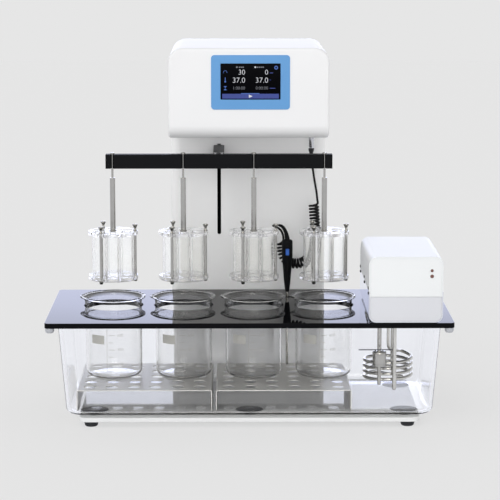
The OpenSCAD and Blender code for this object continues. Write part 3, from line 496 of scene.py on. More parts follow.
BUTTON_BLUE = paint("button_blue", (28, 92, 190), (38, 104, 204), (0.3, 0.4), relief=0.03)
CORD_BLACK = paint("cord_black", (15, 15, 17), (22, 22, 24), (0.45, 0.6), relief=0.08, level=0.2)
# The white enamel print is painted a warm grey. This is painted shade, for print seen with the light behind
# it.
PRINT_WHITE_PAINTED_SHADE = paint("print_white_painted_shade", (200, 198, 190), (208, 206, 198), (0.5, 0.6), relief=0.02)
PRINT_DARK = paint("print_dark", (44, 46, 56), (54, 56, 66), (0.5, 0.6), relief=0.02)
LID_LOOK = paint("lid_acrylic", (8, 8, 10), (12, 12, 15), (0.01, 0.03), level=0.3, ior=1.2)
TUB = clear("clear_tub", (253, 253, 253), (254, 254, 254), ior=1.36)
BEAKER_GLASS = clear("beaker_glass", (253, 253, 252), (254, 254, 254), ior=1.4)
BASKET_CLEAR = clear("basket_clear", (252, 252, 253), (254, 254, 255), ior=1.2, rough=(0.06, 0.12),
                     share=0.88)
TUBE_GLASS = clear("tube_glass", (253, 253, 253), (255, 255, 254), ior=1.16, share=0.96)


def glowing(name, low, high, strength):
    """A lit part of the display."""
    look = Look(name)
    spread = look.noise(200)
    look.colour((8, 8, 10), (12, 12, 14), spread).colour(low, high, spread, "Emission Color")
    return look.gloss(0.3, 0.4, spread).set(glow=strength).material


LIT_WHITE = glowing("lit_white", (204, 206, 212), (214, 216, 222), 1)
LIT_BLUE = glowing("lit_blue", (40, 88, 170), (48, 96, 180), 1)
LIT_DIM = glowing("lit_dim", (106, 108, 116), (116, 118, 126), 1)
LIT_BAR = glowing("lit_bar", (2, 40, 128), (4, 46, 138), 1)


def dress(node, look):
    """Gives a CAD node a material, and leaves its shape alone."""
    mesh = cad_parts[node].data
    mesh.materials.clear()
    mesh.materials.append(look)


# ---------- base and tower ----------

FOOT_TOP = 10.8
WALL = 3
CHIN_R, BROW_R, SIDE_R, CROWN_R = 24, 6, 5, 27


def build_base():
    right = [(302, -140.5, 14), (302, 152, 14), (COLUMN_X, 152, 2), (COLUMN_X, BACK_Y, 18)]
    left = [(-x, y, r) for x, y, r in right]
    outline = rounded(left[:1] + right + left[:0:-1], 8)
    plate = Form().slab(outline, soft(FOOT_TOP, DECK_Z, 1.2, 1.8))
    make("base_plate_form", plate, "chassis", "base", [BASE_PAINT], ["base_plate"])
    feet = Form()
    section = [(0, 0), (8.6, 0), (9.8, 0.3), (10.8, 1), (11.6, 2.2), (13, 8.2), (13, 10.2), (12.4, FOOT_TOP),
               (0, FOOT_TOP)]
    for side in (-1, 1):
        feet.lathe(section, (side * 281.5, -120, 0))
        feet.lathe(section, (side * 125, 269.5, 0))
    make("feet_form", feet, "chassis", "foot_rubber", [RUBBER], ["rubber_feet"])


def build_column():
    section = []
    for x, y, r in ((-COLUMN_X, FACE_Y, 18), (COLUMN_X - WALL, FACE_Y + WALL, 15)):
        section += rounded([(x, BACK_Y, 0), (x, y, r), (-x, y, r), (-x, BACK_Y, 0)], 10)
    shell = Form().rings([[(x, y, z) for x, y in section] for z in (DECK_Z, HEAD_Z)])
    opening = box(LIFT_X - 3.5, 299, LIFT_X + 3.5, 472, (3.5, 3.5, 0, 0), 8)
    cutter = Form().slab(opening, [(FACE_Y - 2, 0), (FACE_Y + 5, 0)], axis="y")
    place_piece("column_form", carve(shell, cutter), "chassis", "casing", [COLUMN_CASE_PAINTED_LIGHT], ["tower_shell"])


def head_ring(y, gap):
    """One section of the head across its depth: gap is how far it lies inside the outer face."""
    depth = y - HEAD_Y - gap

    def drop(r):
        return r - math.sqrt(max(r * r - max(r - depth, 0) ** 2, 0))

    trim = drop(SIDE_R)
    x = COLUMN_X - gap - trim
    low, high = HEAD_Z + gap + drop(CHIN_R - gap), HEAD_TOP - gap - drop(BROW_R - gap)
    foot, crown = SIDE_R - gap, CROWN_R - gap - trim
    return [(u, y, v) for u, v in box(-x, low, x, high, (foot, foot, crown, crown), 10)]


def head_depths(start, gap):
    """Where the sections of the head are taken: close together on its rounded front edges."""
    steps = []
    for r in (SIDE_R, BROW_R - gap, CHIN_R - gap):
        steps += [start + r * (1 - math.cos(math.pi / 2 * k / 10)) for k in range(11)]
    return sorted(set(round(s, 3) for s in steps))


def build_head():
    opening = box(-65, 554.4, 71, 646.4, 6, 8)
    head = Form()
    skins = []
    for gap in (0, WALL):
        skins.append([head_ring(y, gap) for y in head_depths(HEAD_Y + gap, gap)] + [head_ring(BACK_Y, gap)])
        head.rings(skins[-1], caps=(False, False))
    head.rings([skins[0][-1], skins[1][-1]], caps=(False, False))
    for skin, y in zip(skins, (HEAD_Y, HEAD_Y + WALL)):
        loops = [[Vector(p) for p in skin[0]], [Vector((x, y, z)) for x, z in opening]]
        head.add(loops[0] + loops[1], [tuple(t) for t in tessellate_polygon(loops)])
    head.rings([[(x, y, z) for x, z in opening] for y in (HEAD_Y, HEAD_Y + WALL)], caps=(False, False))
    make("head_form", head, "chassis", "casing", [WHITE_CASE], ["head_shell"], crease=40)


def add_screw(form, place, r, height, axis="z", way=1, skin=0):
    """A round screw head with a six sided socket. It stands on a place, up or down the axis."""
    x, y, z = place
    u, v, w = {"z": (x, y, z), "y": (x, z, y)}[axis]
    wall = [(w, 0), (w + way * 0.8 * height, 0), (w + way * height, 0.12 * r)]
    socket = circle(u, v, r * 0.5, 6)
    form.slab(circle(u, v, r, 32), wall, [(socket, [(w, 0), (w + way * height, 0)])], axis, skin)
    form.slab(socket, [(w, 0), (w + way * 0.4 * height, 0)], axis=axis, skin=skin)


def build_rear_cover():
    inside = COLUMN_X - WALL
    outline = box(-inside, DECK_Z, inside, HEAD_TOP - WALL, (0, 0, 24, 24), 10)
    wall = [(287, 0), (289.2, 0), (289.75, 0.25), (BACK_Y, 0.8)]
    loops = [slot(-60, 150 + 9 * i, 60, 3) for i in range(8)]
    loops += [slot(60, 560 + 9 * i, 60, 3) for i in range(6)]
    loops += [box(71.5, 80, 98.5, 100), box(38.5, 78.5, 51.5, 101.5)]
    cover = Form().slab(outline, wall, [(loop, [(287, 0), (BACK_Y, 0)]) for loop in loops], "y")
    for x in (-134, 134):
        for z in (34, 190, 346, 502, 630):
            add_screw(cover, (x, BACK_Y, z), 3.2, 1.6, "y", 1, skin=1)
    make("rear_cover_form", cover, "chassis", "rear_cover", [COVER_PAINT, BRIGHT], ["rear_cover"])
    dress("power_inlet", BLACK_PLASTIC)
    dress("power_switch", BLACK_PLASTIC)


def build_inner_drive():
    """The parts inside the column and the head, which keep their CAD shapes."""
    for look, nodes in ((BOARD, ["control_board"]), (SHEET, ["power_supply"]), (SEAL, ["slot_seal"]),
                        (MOTOR, ["drive_motor"]), (BRASS, ["carriage_bushes"]),
                        (ALUMINIUM, ["screw_bearings", "carriage"]),
                        (STEEL, ["guide_rods", "shaft_coupling"]),
                        (BLACK_OXIDE, ["drive_frame", "lead_screw"])):
        for node in nodes:
            dress(node, look)


# ---------- display ----------

# The middle of the lit area, and the numbers of its four materials.
SCREEN_X = 3
SCREEN_Z = 601.8
WHITE, BLUE, DIM, BAR = range(4)


def on_screen(u, v, w):
    """A spot of the lit area, u to the right and v up from its middle, w towards the viewer."""
    return (SCREEN_X + u, HEAD_Y - 0.05 - w, SCREEN_Z + v)


def add_mark(form, loop, skin, lift=0.0, holes=()):
    """A flat mark on the screen, from a loop of (u, v)."""
    outer, *inner = [[(SCREEN_X + u, SCREEN_Z + v) for u, v in flat] for flat in (loop, *holes)]
    wall = [(HEAD_Y + 0.02, 0), (HEAD_Y - 0.06 - lift, 0)]
    form.slab(outer, wall, [(hole, None) for hole in inner], "y", skin)


def add_icons(marks):
    """The symbols for strokes, heat and time at the left, and the one at the upper right."""
    for k in range(9):
        a = 205 - 25 * k
        add_mark(marks, arc(-45.5, 16.5, 3.6, a, a - 18, 1) + arc(-45.5, 16.5, 2.7, a - 18, a, 1), BLUE)
    add_mark(marks, box(-46.1, 0.5, -44.9, 7.5, 0.5, 4), BLUE)
    add_mark(marks, box(-47, -1.6, -44, 1.4, 1.4, 4), BLUE)
    for v in (-9.2, -15.4):
        add_mark(marks, box(-48, v, -43, v + 1), BLUE)
    for tip, way in ((-11.6, 1), (-12, -1)):
        add_mark(marks, [(-47.4, tip + 2.6 * way), (-43.6, tip + 2.6 * way), (-45.5, tip)], BLUE)
    add_mark(marks, circle(46, 25, 3.4, 24), BLUE, holes=[circle(46, 25, 1.7, 16)])


def build_display():
    frame_loop = box(-68, 551.4, 74, 649.4, 6, 8)
    window = box(-51, 569.4, 57, 634.2, 1.2, 4)
    wall = [(9.8, 0.7), (9.9, 0.25), (10.2, 0), (HEAD_Y, 0), (HEAD_Y, 3), (15, 3)]
    bezel = Form().slab(frame_loop, wall, [(window, [(9.8, 0.9), (10.1, 0.3), (10.6, 0), (15, 0)])], "y")
    make("bezel_form", bezel, "chassis", "bezel", [BEZEL], ["display_bezel"])
    panel = Form().slab(box(-50.9, 569.5, 56.9, 634.1, 1.1, 4), [(15, 0), (HEAD_Y, 0)], axis="y")
    panel.slab(box(-56, 564.4, 62, 639.2, 2, 4), [(15, 0), (21, 0)], axis="y")
    make("screen_form", panel, "chassis", "screen", [SCREEN], ["display_panel"])
    marks = Form()
    for texts, base, height, skin in ((("30", "0"), 12.6, 8.7, WHITE), (("37.0", "37.0"), -2, 9.2, WHITE),
                                      (("1:00:00", "0:00:00"), -14.1, 5.2, DIM)):
        for text, right in zip(texts, (-9.9, 31.4)):
            marks.letters(text, on_screen, base, height, 0.06, right=right, skin=skin)
    for u, skin in ((-26, DIM), (7, WHITE)):
        add_mark(marks, box(u, 24.4, u + 3, 27.4, 1.4, 4), skin)
    for u0, u1 in ((-21, -18.4), (-17.4, -15.2), (-14.4, -12), (11, 13.6), (14.6, 17), (18, 20.4),
                   (21.4, 24)):
        add_mark(marks, box(u0, 24.8, u1, 26.8), DIM)
    for u, v, wide in ((34.6, 15, 6), (34.4, 2.4, 1.6), (34.6, -12.6, 10)):
        add_mark(marks, box(u, v, u + wide, v + 1.2), BAR)
    add_icons(marks)
    add_mark(marks, box(-51, -30.6, 51, -22), BAR)
    add_mark(marks, box(-17, -22, 16, -20.9), BLUE, 0.02)
    add_mark(marks, [(-3, -29.3), (3.6, -26.4), (-3, -23.5)], WHITE, 0.06)
    make("screen_marks", marks, "chassis", "screen", [LIT_WHITE, LIT_BLUE, LIT_DIM, LIT_BAR], crease=30)


def build_socket():
    section = [(0, 469), (4.3, 469), (4.5, 469.3)]
    for z in (472, 477, 482):
        section += [(4.5, z), (5, z + 0.3), (5, z + 2), (4.5, z + 2.3)]
    section += [(4.5, 493.6), (6.6, 493.6), (7, 494.1), (7, HEAD_Z), (0, HEAD_Z)]
    socket = Form().lathe(section, SOCKET_SPOT, sides=40)
    for x, y in circle(*SOCKET_SPOT[:2], 4.55, 20):
        socket.lathe([(0, 485.4), (0.35, 485.7), (0.35, 492.4), (0, 492.7)], (x, y, 0), sides=8)
    make("socket_metal", socket, "chassis", "socket_metal", [BRIGHT], ["probe_socket"])
    boot = Form().lathe([(0, 452.6), (2, 452.6), (2.7, 453), (3, 455), (2.7, 455.6), (3.3, 457.4), (3, 458),
                         (3.7, 459.8), (3.4, 460.4), (4.3, 462.4), (4.9, 464.4), (5.2, 466), (5.2, 468.6),
                         (4.8, 469), (0, 469)], SOCKET_SPOT, sides=32)
    make("socket_boot", boot, "chassis", "black_plastic", [BLACK_PLASTIC])


# ---------- lift ----------


def build_lift():
    front, rear, notch = 4, 22, 2.3
    outline = [(-259, rear), (-259, front)]
    for x in ROW_X:
        outline += [(x - notch, front)] + arc(x, ROW_Y, notch, 180, 0, 8) + [(x + notch, front)]
    outline += [(151, front), (151, rear)]
    beam = Form().slab(outline, soft(BEAM_Z, BEAM_TOP, 0.5, 0.5, 2))
    make("beam_form", beam, "lift", "beam_paint", [BEAM_PAINT], ["lift_beam"])
    screws = Form()
    for side in (-1, 1):
        add_screw(screws, (LIFT_X + side * 6.3, 16, BEAM_TOP), 3.5, 2.2)
    make("beam_screw_heads", screws, "lift", "screw_steel", [BRIGHT], ["beam_screws"])
    low, high = 446, 470
    arm = Form().slab(box(LIFT_X - 10, rear, LIFT_X + 10, 165, (0, 0, 1, 1), 3), soft(low, high, 1, 1))
    arm.slab(box(LIFT_X - 2.9, 165, LIFT_X + 2.9, 188), [(low, 0), (high, 0)])
    make("arm_form", arm, "lift", "arm_paint", [ARM_PAINT], ["lift_arm"])


# ---------- bath, trays and lid ----------

TUB_LEAN = 12.5
TUB_SKINS = {"out": (BATH_Z, 338.5, 146, 26, 13), "in": (FLOOR_Z, 333.5, 141, 23.5, 8)}


def tub_ring(z, skin):
    """A section at the height z of the tub's outer or inner face, which leans out up to the rim."""
    low, half_w, half_d, corner, r = TUB_SKINS[skin]
    step = min(max((z - low) / r, 0), 1)
    hollow = r * (1 - math.sqrt(max(1 - (1 - step) ** 2, 0)))
    gap = TUB_LEAN * (1 - (z - low) / (RIM_Z - low)) + hollow
    return [(u, v, z) for u, v in box(gap - half_w, gap - half_d, half_w - gap, half_d - gap,
                                      corner - 0.6 * hollow, 10)]


def build_bath():
    rise = [1 - math.cos(math.pi / 2 * k / 8) for k in range(9)]
    faces = {}
    for skin, (low, _, _, _, r) in TUB_SKINS.items():
        faces[skin] = [tub_ring(z, skin) for z in [low + r * t for t in rise] + [60, 100, 140, 175, 183]]
    rim = []
    for g, drop in ((0.15, 0.6), (0.5, 0.15), (1.2, 0), (3.8, 0), (4.5, 0.15), (4.85, 0.6)):
        loop = box(-338.5 + g, -146 + g, 338.5 - g, 146 - g, 26 - g, 10)
        rim.append([(u, v, RIM_Z - drop) for u, v in loop])
    bath = Form().rings(faces["out"] + rim + faces["in"][::-1])
    make("bath_form", bath, "chassis", "clear_tub", [TUB], ["bath"], crease=50)
    x0, x1, y = 192, 252, -142.8
    mark = box(x0, y - 0.12, x1, y)
    line = Form().rings([[(u, v, z) for u, v in mark] for z in (141.2, 143)])
    make("level_line", line, "chassis", None, [PRINT_DARK])
    pads = Form()
    section = [(0, DECK_Z), (25, DECK_Z), (25, DECK_Z + 0.8), (24.6, BATH_Z), (0, BATH_Z)]
    for x in (-276.5, 0, 276.5):
        for y in (-95, 95):
            pads.lathe(section, (x, y, 0))
    make("pads_form", pads, "chassis", "pad_rubber", [PAD], ["bath_pads"])


def build_tray(name, middle):
    """A drilled sheet of steel on two side flanges."""
    x0, x1, y0, y1, top, sheet = middle - 120.5, middle + 120.5, -120, 98, TRAY_Z, 1.5
    holes = [(circle(middle + (i - 2.5) * 39.2, -11 + (j - 2) * 41, 11.25, 32),
              [(top - sheet, -0.25), (top - 1.25, 0), (top - 0.25, 0), (top, -0.25)])
             for i in range(6) for j in range(5)]
    tray = Form().slab(box(x0 + 3, y0, x1 - 3, y1), [(top - sheet, 0), (top, 0)], holes)
    for x, way in ((x0, 1), (x1, -1)):
        tray.slab(box(y0, FLOOR_Z, y1, top - 3, (6, 6, 0, 0), 8), [(x, 0), (x + way * sheet, 0)], axis="x")
        bend = arc(0, top - 3, 3, 0, 90, 5) + arc(0, top - 3, 3 - sheet, 90, 0, 5)
        tray.rings([[(x + way * (3 - u), y, w) for u, w in bend] for y in (y0, y1)])
    make(name + "_form", tray, "chassis", "tray_steel", [TRAY_STEEL], [name])


def build_lid():
    wall = [(LID_Z, 0.6), (184.8, 0.2), (185.2, 0), (193.1, 0), (193.5, 0.12), (LID_TOP, 0.6)]
    plain = [(LID_Z, 0.2), (184.8, 0), (193.5, 0), (LID_TOP, 0.3)]
    loops = [circle(x, ROW_Y, 54, 96) for x in ROW_X]
    loops += [circle(*PROBE_SPOT[:2], 7, 32), box(222, -132, 284, -10, 3, 4)]
    lid = Form().slab(box(-359, -162.5, 359, 162.5, 8, 10), wall, [(loop, plain) for loop in loops])
    make("lid_form", lid, "lid", "lid_acrylic", [LID_LOOK], ["lid"])
    buffers = Form()
    section = [(0, 175.6), (4.6, 175.6), (5.8, 175.9), (6.8, 176.9), (7.6, 178.6), (8, 180.8), (8, LID_Z),
               (0, LID_Z)]
    for x in (-350, 350):
        for y in (-153.5, 153.5):
            buffers.lathe(section, (x, y, 0), sides=32)
    make("buffers_form", buffers, "lid", "buffer", [BUFFER], ["lid_buffers"])


# ---------- beakers and baskets ----------

BEAKER_Z = 64.9
BEAKER_R = 51.5
BEAKER_TOP = 211.9
FLARE = 6.4


def flare(r, *turns):
    """The throat under the rim, where the wall at the radius r widens, at some turns in degrees."""
    return [(r + (FLARE - 1.5) * (1 - math.cos(a)), BEAKER_TOP - 9 + 7 * math.sin(a))
            for a in map(math.radians, turns)]


def beaker_section():
    """Outside up, over the bead and down the inside."""
    foot, wall = 12, 2.6
    inner, hollow = BEAKER_R - wall, foot - wall
    levels = (90, 120, 150, 180)
    section = [(0, BEAKER_Z)] + arc(BEAKER_R - foot, BEAKER_Z + foot, foot, -90, 0, 9)
    section += [(BEAKER_R, z) for z in levels] + flare(BEAKER_R, *range(0, 73, 12))
    section += arc(BEAKER_R + FLARE - 2, BEAKER_TOP - 2, 2, -45, 165, 10)
    section += flare(inner, *range(60, -1, -12)) + [(inner, z) for z in levels[::-1]]
    section += arc(inner - hollow, BEAKER_Z + wall + hollow, hollow, 0, -90, 9)
    return section + [(0, BEAKER_Z + wall)]


def pour(point):
    """Draws the rim out into a spout at the left."""
    x, y, z = point
    angle = math.atan2(y, -x)
    share = max(0, (z - BEAKER_TOP + 14) / 14) * math.exp(-(angle / 0.2) ** 2)
    r = math.hypot(x, y)
    if not share or r < 40:
        return point
    grow = (r + 4.2 * share) / r
    return (x * grow, y * grow, z - 0.8 * share)


def on_beaker(u, v, w):
    """A spot on the outside of a beaker: u round to the right of the front, v up from the bench."""
    a = -math.pi / 2 + u / BEAKER_R
    r = BEAKER_R + 0.05 + w
    return (r * math.cos(a), r * math.sin(a), v)


def add_print(form, u0, v0, u1, v1):
    """A printed mark on the beaker, bent to its wall."""
    steps = max(1, int(abs(u1 - u0) / 3))
    rings = []
    for k in range(steps + 1):
        u = u0 + (u1 - u0) * k / steps
        rings.append([on_beaker(u, v, w) for v, w in ((v0, 0), (v1, 0), (v1, 0.08), (v0, 0.08))])
    form.rings(rings)


def build_beakers():
    glass = Form().lathe(beaker_section(), sides=96)
    glass.points = [pour(p) for p in glass.points]
    first = make("beaker_1_glass", glass, "beaker_1", "beaker_glass", [BEAKER_GLASS], ["beaker_1"],
                 crease=60, shift=(ROW_X[0], ROW_Y, 0))
    marks = Form()
    turn = BEAKER_R * math.pi / 180
    add_print(marks, -47 * turn, 130.4, -17 * turn, 146.6)
    add_print(marks, -11.6 * turn, 80, -10.9 * turn, 174.5)
    for k in range(8):
        long, v = k % 2, 80.5 + 13.25 * k
        add_print(marks, -7.8 * turn, v, (4.5 if long else 1) * turn, v + 0.8)
        if long:
            marks.letters(str(100 * (k + 1)), on_beaker, v - 1.9, 5.2, 0.05, left=8.6)
    first_print = make("beaker_1_print", marks, "beaker_1", None, [PRINT_WHITE_PAINTED_SHADE], shift=(ROW_X[0], ROW_Y, 0),
                       crease=30)
    for i in (2, 3, 4):
        shift = (ROW_X[i - 1], ROW_Y, 0)
        body = f"beaker_{i}"
        place_piece(f"{body}_glass", first.data, body, "beaker_glass", [], [body], shift=shift)
        place_piece(f"{body}_print", first_print.data, body, None, [], shift=shift)


# The three tie rods and the six tubes, seen from above.
ROD_PLACES = circle(0, 0, 40, 3)
TUBE_PLACES = arc(0, 0, 28.5, 30, 330, 5)


def build_basket_plates():
    plates = Form()
    for low, seat_up in ((244, True), (325, False)):
        seat = [(0, 0), (4.75, 0), (4.75, -0.6), (6, -0.6)]
        if not seat_up:
            seat = [(0, -0.6), (1.25, -0.6), (1.25, 0), (6, 0)]
        holes = [(circle(x, y, 11.9, 40), [(low + w, gap) for w, gap in seat]) for x, y in TUBE_PLACES]
        holes += [(circle(x, y, 2.55, 16), [(low, 0), (low + 6, 0)]) for x, y in ROD_PLACES]
        plates.slab(circle(0, 0, 45, 96), soft(low, low + 6, 0.4, 0.4, 2), holes)
    return plates


def build_basket_tubes():
    tubes = Form()
    section = [(10.95, 248.8), (12.4, 248.8), (12.42, 249), (12.42, 326), (12.4, 326.2), (10.95, 326.2),
               (10.9, 326), (10.9, 249)]
    for x, y in TUBE_PLACES:
        tubes.lathe(section, (x, y, 0), sides=40, wrap=True)
    return tubes


def add_mesh_wires(form):
    """Woven wire under the lower plate: each wire goes over one and under the next."""
    half, pitch = 43, 3.6
    count = int(half / pitch)
    for way in (0, 1):
        for i in range(-count, count + 1):
            reach = math.sqrt(half * half - (i * pitch) ** 2)
            steps = max(2, 2 * int(reach / pitch))
            line = []
            for k in range(-steps, steps + 1):
                u = reach * k / steps
                lift = 0.26 * math.cos(math.pi * (u / pitch + i + way))
                spot = (u, i * pitch) if way else (i * pitch, u)
                line.append(Vector((spot[0], spot[1], 243.42 + lift)))
            form.tube(line, 0.28, 4)


def build_basket_frame():
    steel = Form()
    rod = [(0, 238.2), (2.1, 238.2), (2.5, 238.6), (2.5, 331.2), (0, 331.2)]
    nut = [(0, 238.4), (2.7, 238.4), (3, 238.7), (3.8, 242.4), (3.8, 242.8), (0, 242.8)]
    knob = [(0, 331), (3.4, 331), (3.4, 332), (3, 332.4), (2.3, 333.4), (2.1, 335), (2.4, 336.6),
            (3.6, 339.2), (4.8, 341.2), (5, 341.9), (4.8, 342.8), (4.1, 343.2), (2.8, 343.2), (2.4, 342.4),
            (0, 342.2)]
    for x, y in ROD_PLACES:
        for section, sides in ((rod, 20), (nut, 20), (knob, 28)):
            steel.lathe(section, (x, y, 0), sides=sides)
    hanger = [(0, 331), (6.4, 331), (6.6, 331.3), (6.6, 332.4), (6.2, 332.8), (4.85, 332.8), (4.85, 427.4),
              (4.5, 428), (2, 428), (2, 470.9), (3.7, 470.9), (4, 471.2), (4, 473.3), (3.5, 473.9),
              (1.6, 473.9), (1.4, 473.4), (0, 473.4)]
    steel.lathe(hanger, sides=40)
    steel.lathe([(0, 323.6), (3.6, 323.6), (4, 324), (4, 325), (0, 325)], sides=24)
    rim = [(42.4, 243), (43, 243), (43.2, 243.3), (43.2, 243.7), (43, 244), (42.4, 244)]
    steel.lathe(rim, sides=72, wrap=True)
    add_mesh_wires(steel)
    return steel


def build_baskets():
    parts = (("plates", build_basket_plates(), "basket_clear", BASKET_CLEAR, 40),
             ("tubes", build_basket_tubes(), "tube_glass", TUBE_GLASS, 60),
             ("frame", build_basket_frame(), "basket_steel", STEEL, 35))
    for label, form, slot_name, look, crease in parts:
        first = None
        for i in (1, 2, 3, 4):
            body = f"basket_{i}"
            shift = (ROW_X[i - 1], ROW_Y, 0)
            args = (body, slot_name, [look], [f"{body}_{label}"])
            if first is None:
                first = make(f"{body}_{label}_form", form, *args, crease=crease, shift=shift)
            else:
                place_piece(f"{body}_{label}_form", first.data, *args, shift=shift)


# ---------- heater and pump ----------

HEATER_X0, HEATER_X1 = 208, 338
HEATER_Y0, HEATER_Y1 = -160.5, 87.5
HEATER_TOP = 310.8
REAR_R = 28
# The two halves meet lower on the front plate than on the sides.
SEAM_Z = 239.8
SIDE_SEAM_Z = 249
LAMP_X = 317.8


def half_shell(gap, upper, drop=0.0, seam=SEAM_Z):
    """Outline of one half of the heater, seen from the front and set in by a gap."""
    x0, x1 = HEATER_X0 + gap, HEATER_X1 - gap
    low, high, r = LID_TOP + gap, HEATER_TOP - gap - drop, 14 - gap
    if upper:
        line = [(x1, seam + 0.15)] + arc(x1 - r, high - r, r, 0, 90, 10)
        return line + arc(x0 + r, high - r, r, 90, 180, 10) + [(x0, seam + 0.15)]
    line = [(x0, seam - 0.15)] + arc(x0 + r, low + r, r, 180, 270, 10)
    return line + arc(x1 - r, low + r, r, 270, 360, 10) + [(x1, seam - 0.15)]


def heater_half(upper):
    """The bent sheet of one half. The upper one rolls down at its rear edge."""
    half = Form()
    steps = [(HEATER_Y0, 0.5, 0), (HEATER_Y0 + 0.15, 0.15, 0), (HEATER_Y0 + 0.5, 0, 0)]
    for k in range(11):
        a = math.pi / 2 * k / 10
        drop = REAR_R * (1 - math.cos(a)) if upper else 0
        steps.append((HEATER_Y1 - REAR_R * (1 - math.sin(a)), 0, drop))
    rings = []
    for y, step, drop in steps:
        loop = half_shell(step, upper, drop, SIDE_SEAM_Z) + half_shell(1.4, upper, drop, SIDE_SEAM_Z)[::-1]
        rings.append([(x, y, z) for x, z in loop])
    return half.rings(rings, skin=0 if upper else 1)


def heater_front(form, upper, holes=()):
    """The front plate, which stands in the sheet with a shallow groove all round, and the rear plate."""
    ledge = [(HEATER_Y0 + 1.1, 0), (HEATER_Y0 + 2, 0)]
    front = [(HEATER_Y0 + 0.2, 0.5), (HEATER_Y0 + 0.35, 0.15), (HEATER_Y0 + 0.6, 0), (HEATER_Y0 + 3, 0)]
    form.slab(half_shell(1.4, upper), ledge, [(loop, ledge) for loop, _ in holes], "y")
    form.slab(half_shell(3.4, upper), front, holes, "y")
    back = [(HEATER_Y1 - 2.4, 0), (HEATER_Y1 - 0.4, 0), (HEATER_Y1, 0.4)]
    form.slab(half_shell(1.4, upper, REAR_R if upper else 0), back, axis="y")


# Height and radius of each lamp.
LAMPS = ((286.4, 2.6), (276.4, 3.2))


def build_heater():
    upper = heater_half(True)
    holes = [(circle(LAMP_X, z, 2.3, 24), [(HEATER_Y0 + 0.2, 0), (HEATER_Y0 + 3, 0)]) for z, _ in LAMPS]
    heater_front(upper, True, holes)
    dots = Form()
    for y in (-147.5, -36.5, 74.5):
        for z in (244.3, 253.8):
            dots.lathe([(0, 208), (2.5, 208), (2.5, 207.2), (2, 206.8), (0, 206.8)], (0, y, z), "x", 20)
    make("heater_cover_form", upper, "lid", "heater_white", [HEATER_WHITE], ["heater_cover"])
    make("heater_plugs", dots, "lid", "black_plastic", [BLACK_PLASTIC])
    lower = heater_half(False)
    heater_front(lower, False)
    make("heater_base_form", lower, "lid", "heater_low", [HEATER_LOW, SIDE_STEEL], ["heater_base"])
    lamps = Form()
    for z, r in LAMPS:
        lamps.lathe([(0, -157), (2.2, -157), (2.2, -160.3), (r, -160.3), (r, -160.7), (r - 0.5, -161.1),
                     (r - 1.2, -161.5), (0, -161.8)], (LAMP_X, 0, z), "y", 28)
    make("lamps_form", lamps, "lid", "lamp", [LAMP], ["heater_lamps"])
    dress("pump_motor", MOTOR)
    dress("pump_rotor", STEEL)


COIL_X, COIL_Y, COIL_R = 250, -60, 42.75
PUMP_X, PUMP_Y = 230, -122


def coil_line():
    """Down one leg, round four turns and up the other leg."""
    low, top = 73, 113
    x, y, r = COIL_X, COIL_Y, COIL_R
    u, v = x + 0.92 * r * math.cos(0.87), y + 0.92 * r * math.sin(0.87)
    start = [(x, y - 6, LID_TOP), (x, y - 6, 165), (x, y - 6, top + 24), (x + 4, y - 2, top + 13),
             (x + 18, y + 10, top + 8), (u, v, top + 3.6)]
    turns = []
    for k in range(46):
        a = math.radians(30 - 30 * k)
        turns.append((x + r * math.cos(a), y + r * math.sin(a), top - 10 * k / 12))
    end = [(x + r * 0.62, y + r * 0.42, low - 0.5), (x + 15, y + 10, low + 2), (x + 9, y + 7.2, low + 12),
           (x + 8, y + 7, low + 30), (x + 8, y + 7, 150), (x + 8, y + 7, LID_TOP)]
    return catmull(start + turns + end, 3)


def build_coil():
    coil = Form().tube(coil_line(), 2.8, 14)
    sensor = [(0, 64), (1.8, 64.4), (3, 65.6), (3.5, 67.6), (3.5, LID_TOP), (0, LID_TOP)]
    coil.lathe(sensor, (257, -120, 0), sides=28)
    make("coil_form", coil, "lid", "coil_steel", [COIL_STEEL], ["heater_coil"])
    pipe = [(1.56, 135.2), (3.75, 135.2), (3.75, LID_TOP), (1.56, LID_TOP)]
    housing = [(1.56, 132), (1.56, 135.2), (10.6, 135.2), (12, 134.6), (12.5, 133.4), (12.5, 131.6),
               (12, 131.2), (12, 113), (12.5, 112.6), (12.5, 110.4), (12, 109.4), (10.8, 109), (3.2, 109),
               (3.2, 75.4), (3, 75), (2.2, 75), (2, 75.4), (2, 112), (10, 112), (10, 132)]
    pump = Form().lathe(pipe, (PUMP_X, PUMP_Y, 0), sides=28, wrap=True)
    pump.lathe(housing, (PUMP_X, PUMP_Y, 0), sides=40, wrap=True)
    for x, y in arc(PUMP_X, PUMP_Y, 9.2, 45, 315, 3):
        add_screw(pump, (x, y, 135.2), 1.3, 0.9)
    make("pump_form", pump, "lid", "pump_steel", [STEEL], ["pump_housing"])


# ---------- probe and its lead ----------

LEAD_ROUTE = [(117, 120, 453), (118, 118.8, 443), (119.8, 114.5, 431), (122.4, 108.8, 413),
              (125.1, 104.6, 397), (126.9, 103.2, 386)]
CURL_ROUTE = [(120.6, 100, 376), (122.3, 100, 350), (123.9, 100, 325), (122.5, 102, 299),
              (117, 104.5, 275), (106, 107, 258.5), (91, 109.5, 253), (77, 110.5, 255),
              (66.6, 110.5, 266), (62.7, 110, 283), (62.4, 110, 300)]
HOOK_ROUTE = [(64.3, 104, 308), (60.5, 105.5, 316.5), (53.5, 105, 322), (47.3, 101, 325),
              (45.8, 94.5, 327), (49.2, 89.4, 328.8), (56, 88, 329)]
RELIEF_ROUTE = [(56, 88, 329), (63, 86.5, 326), (68.5, 86, 317), (71.2, 86, 308), (72, 86, 301.8)]
# The lead's diameter, the radius and pitch of its curl, the length of curl in which it leans over, and the
# turn at which the curl starts.
LEAD_D = 4.2
CURL_R = 7.8
CURL_PITCH = 5.884
CURL_ENTRY = 11
CURL_START = math.radians(-40)


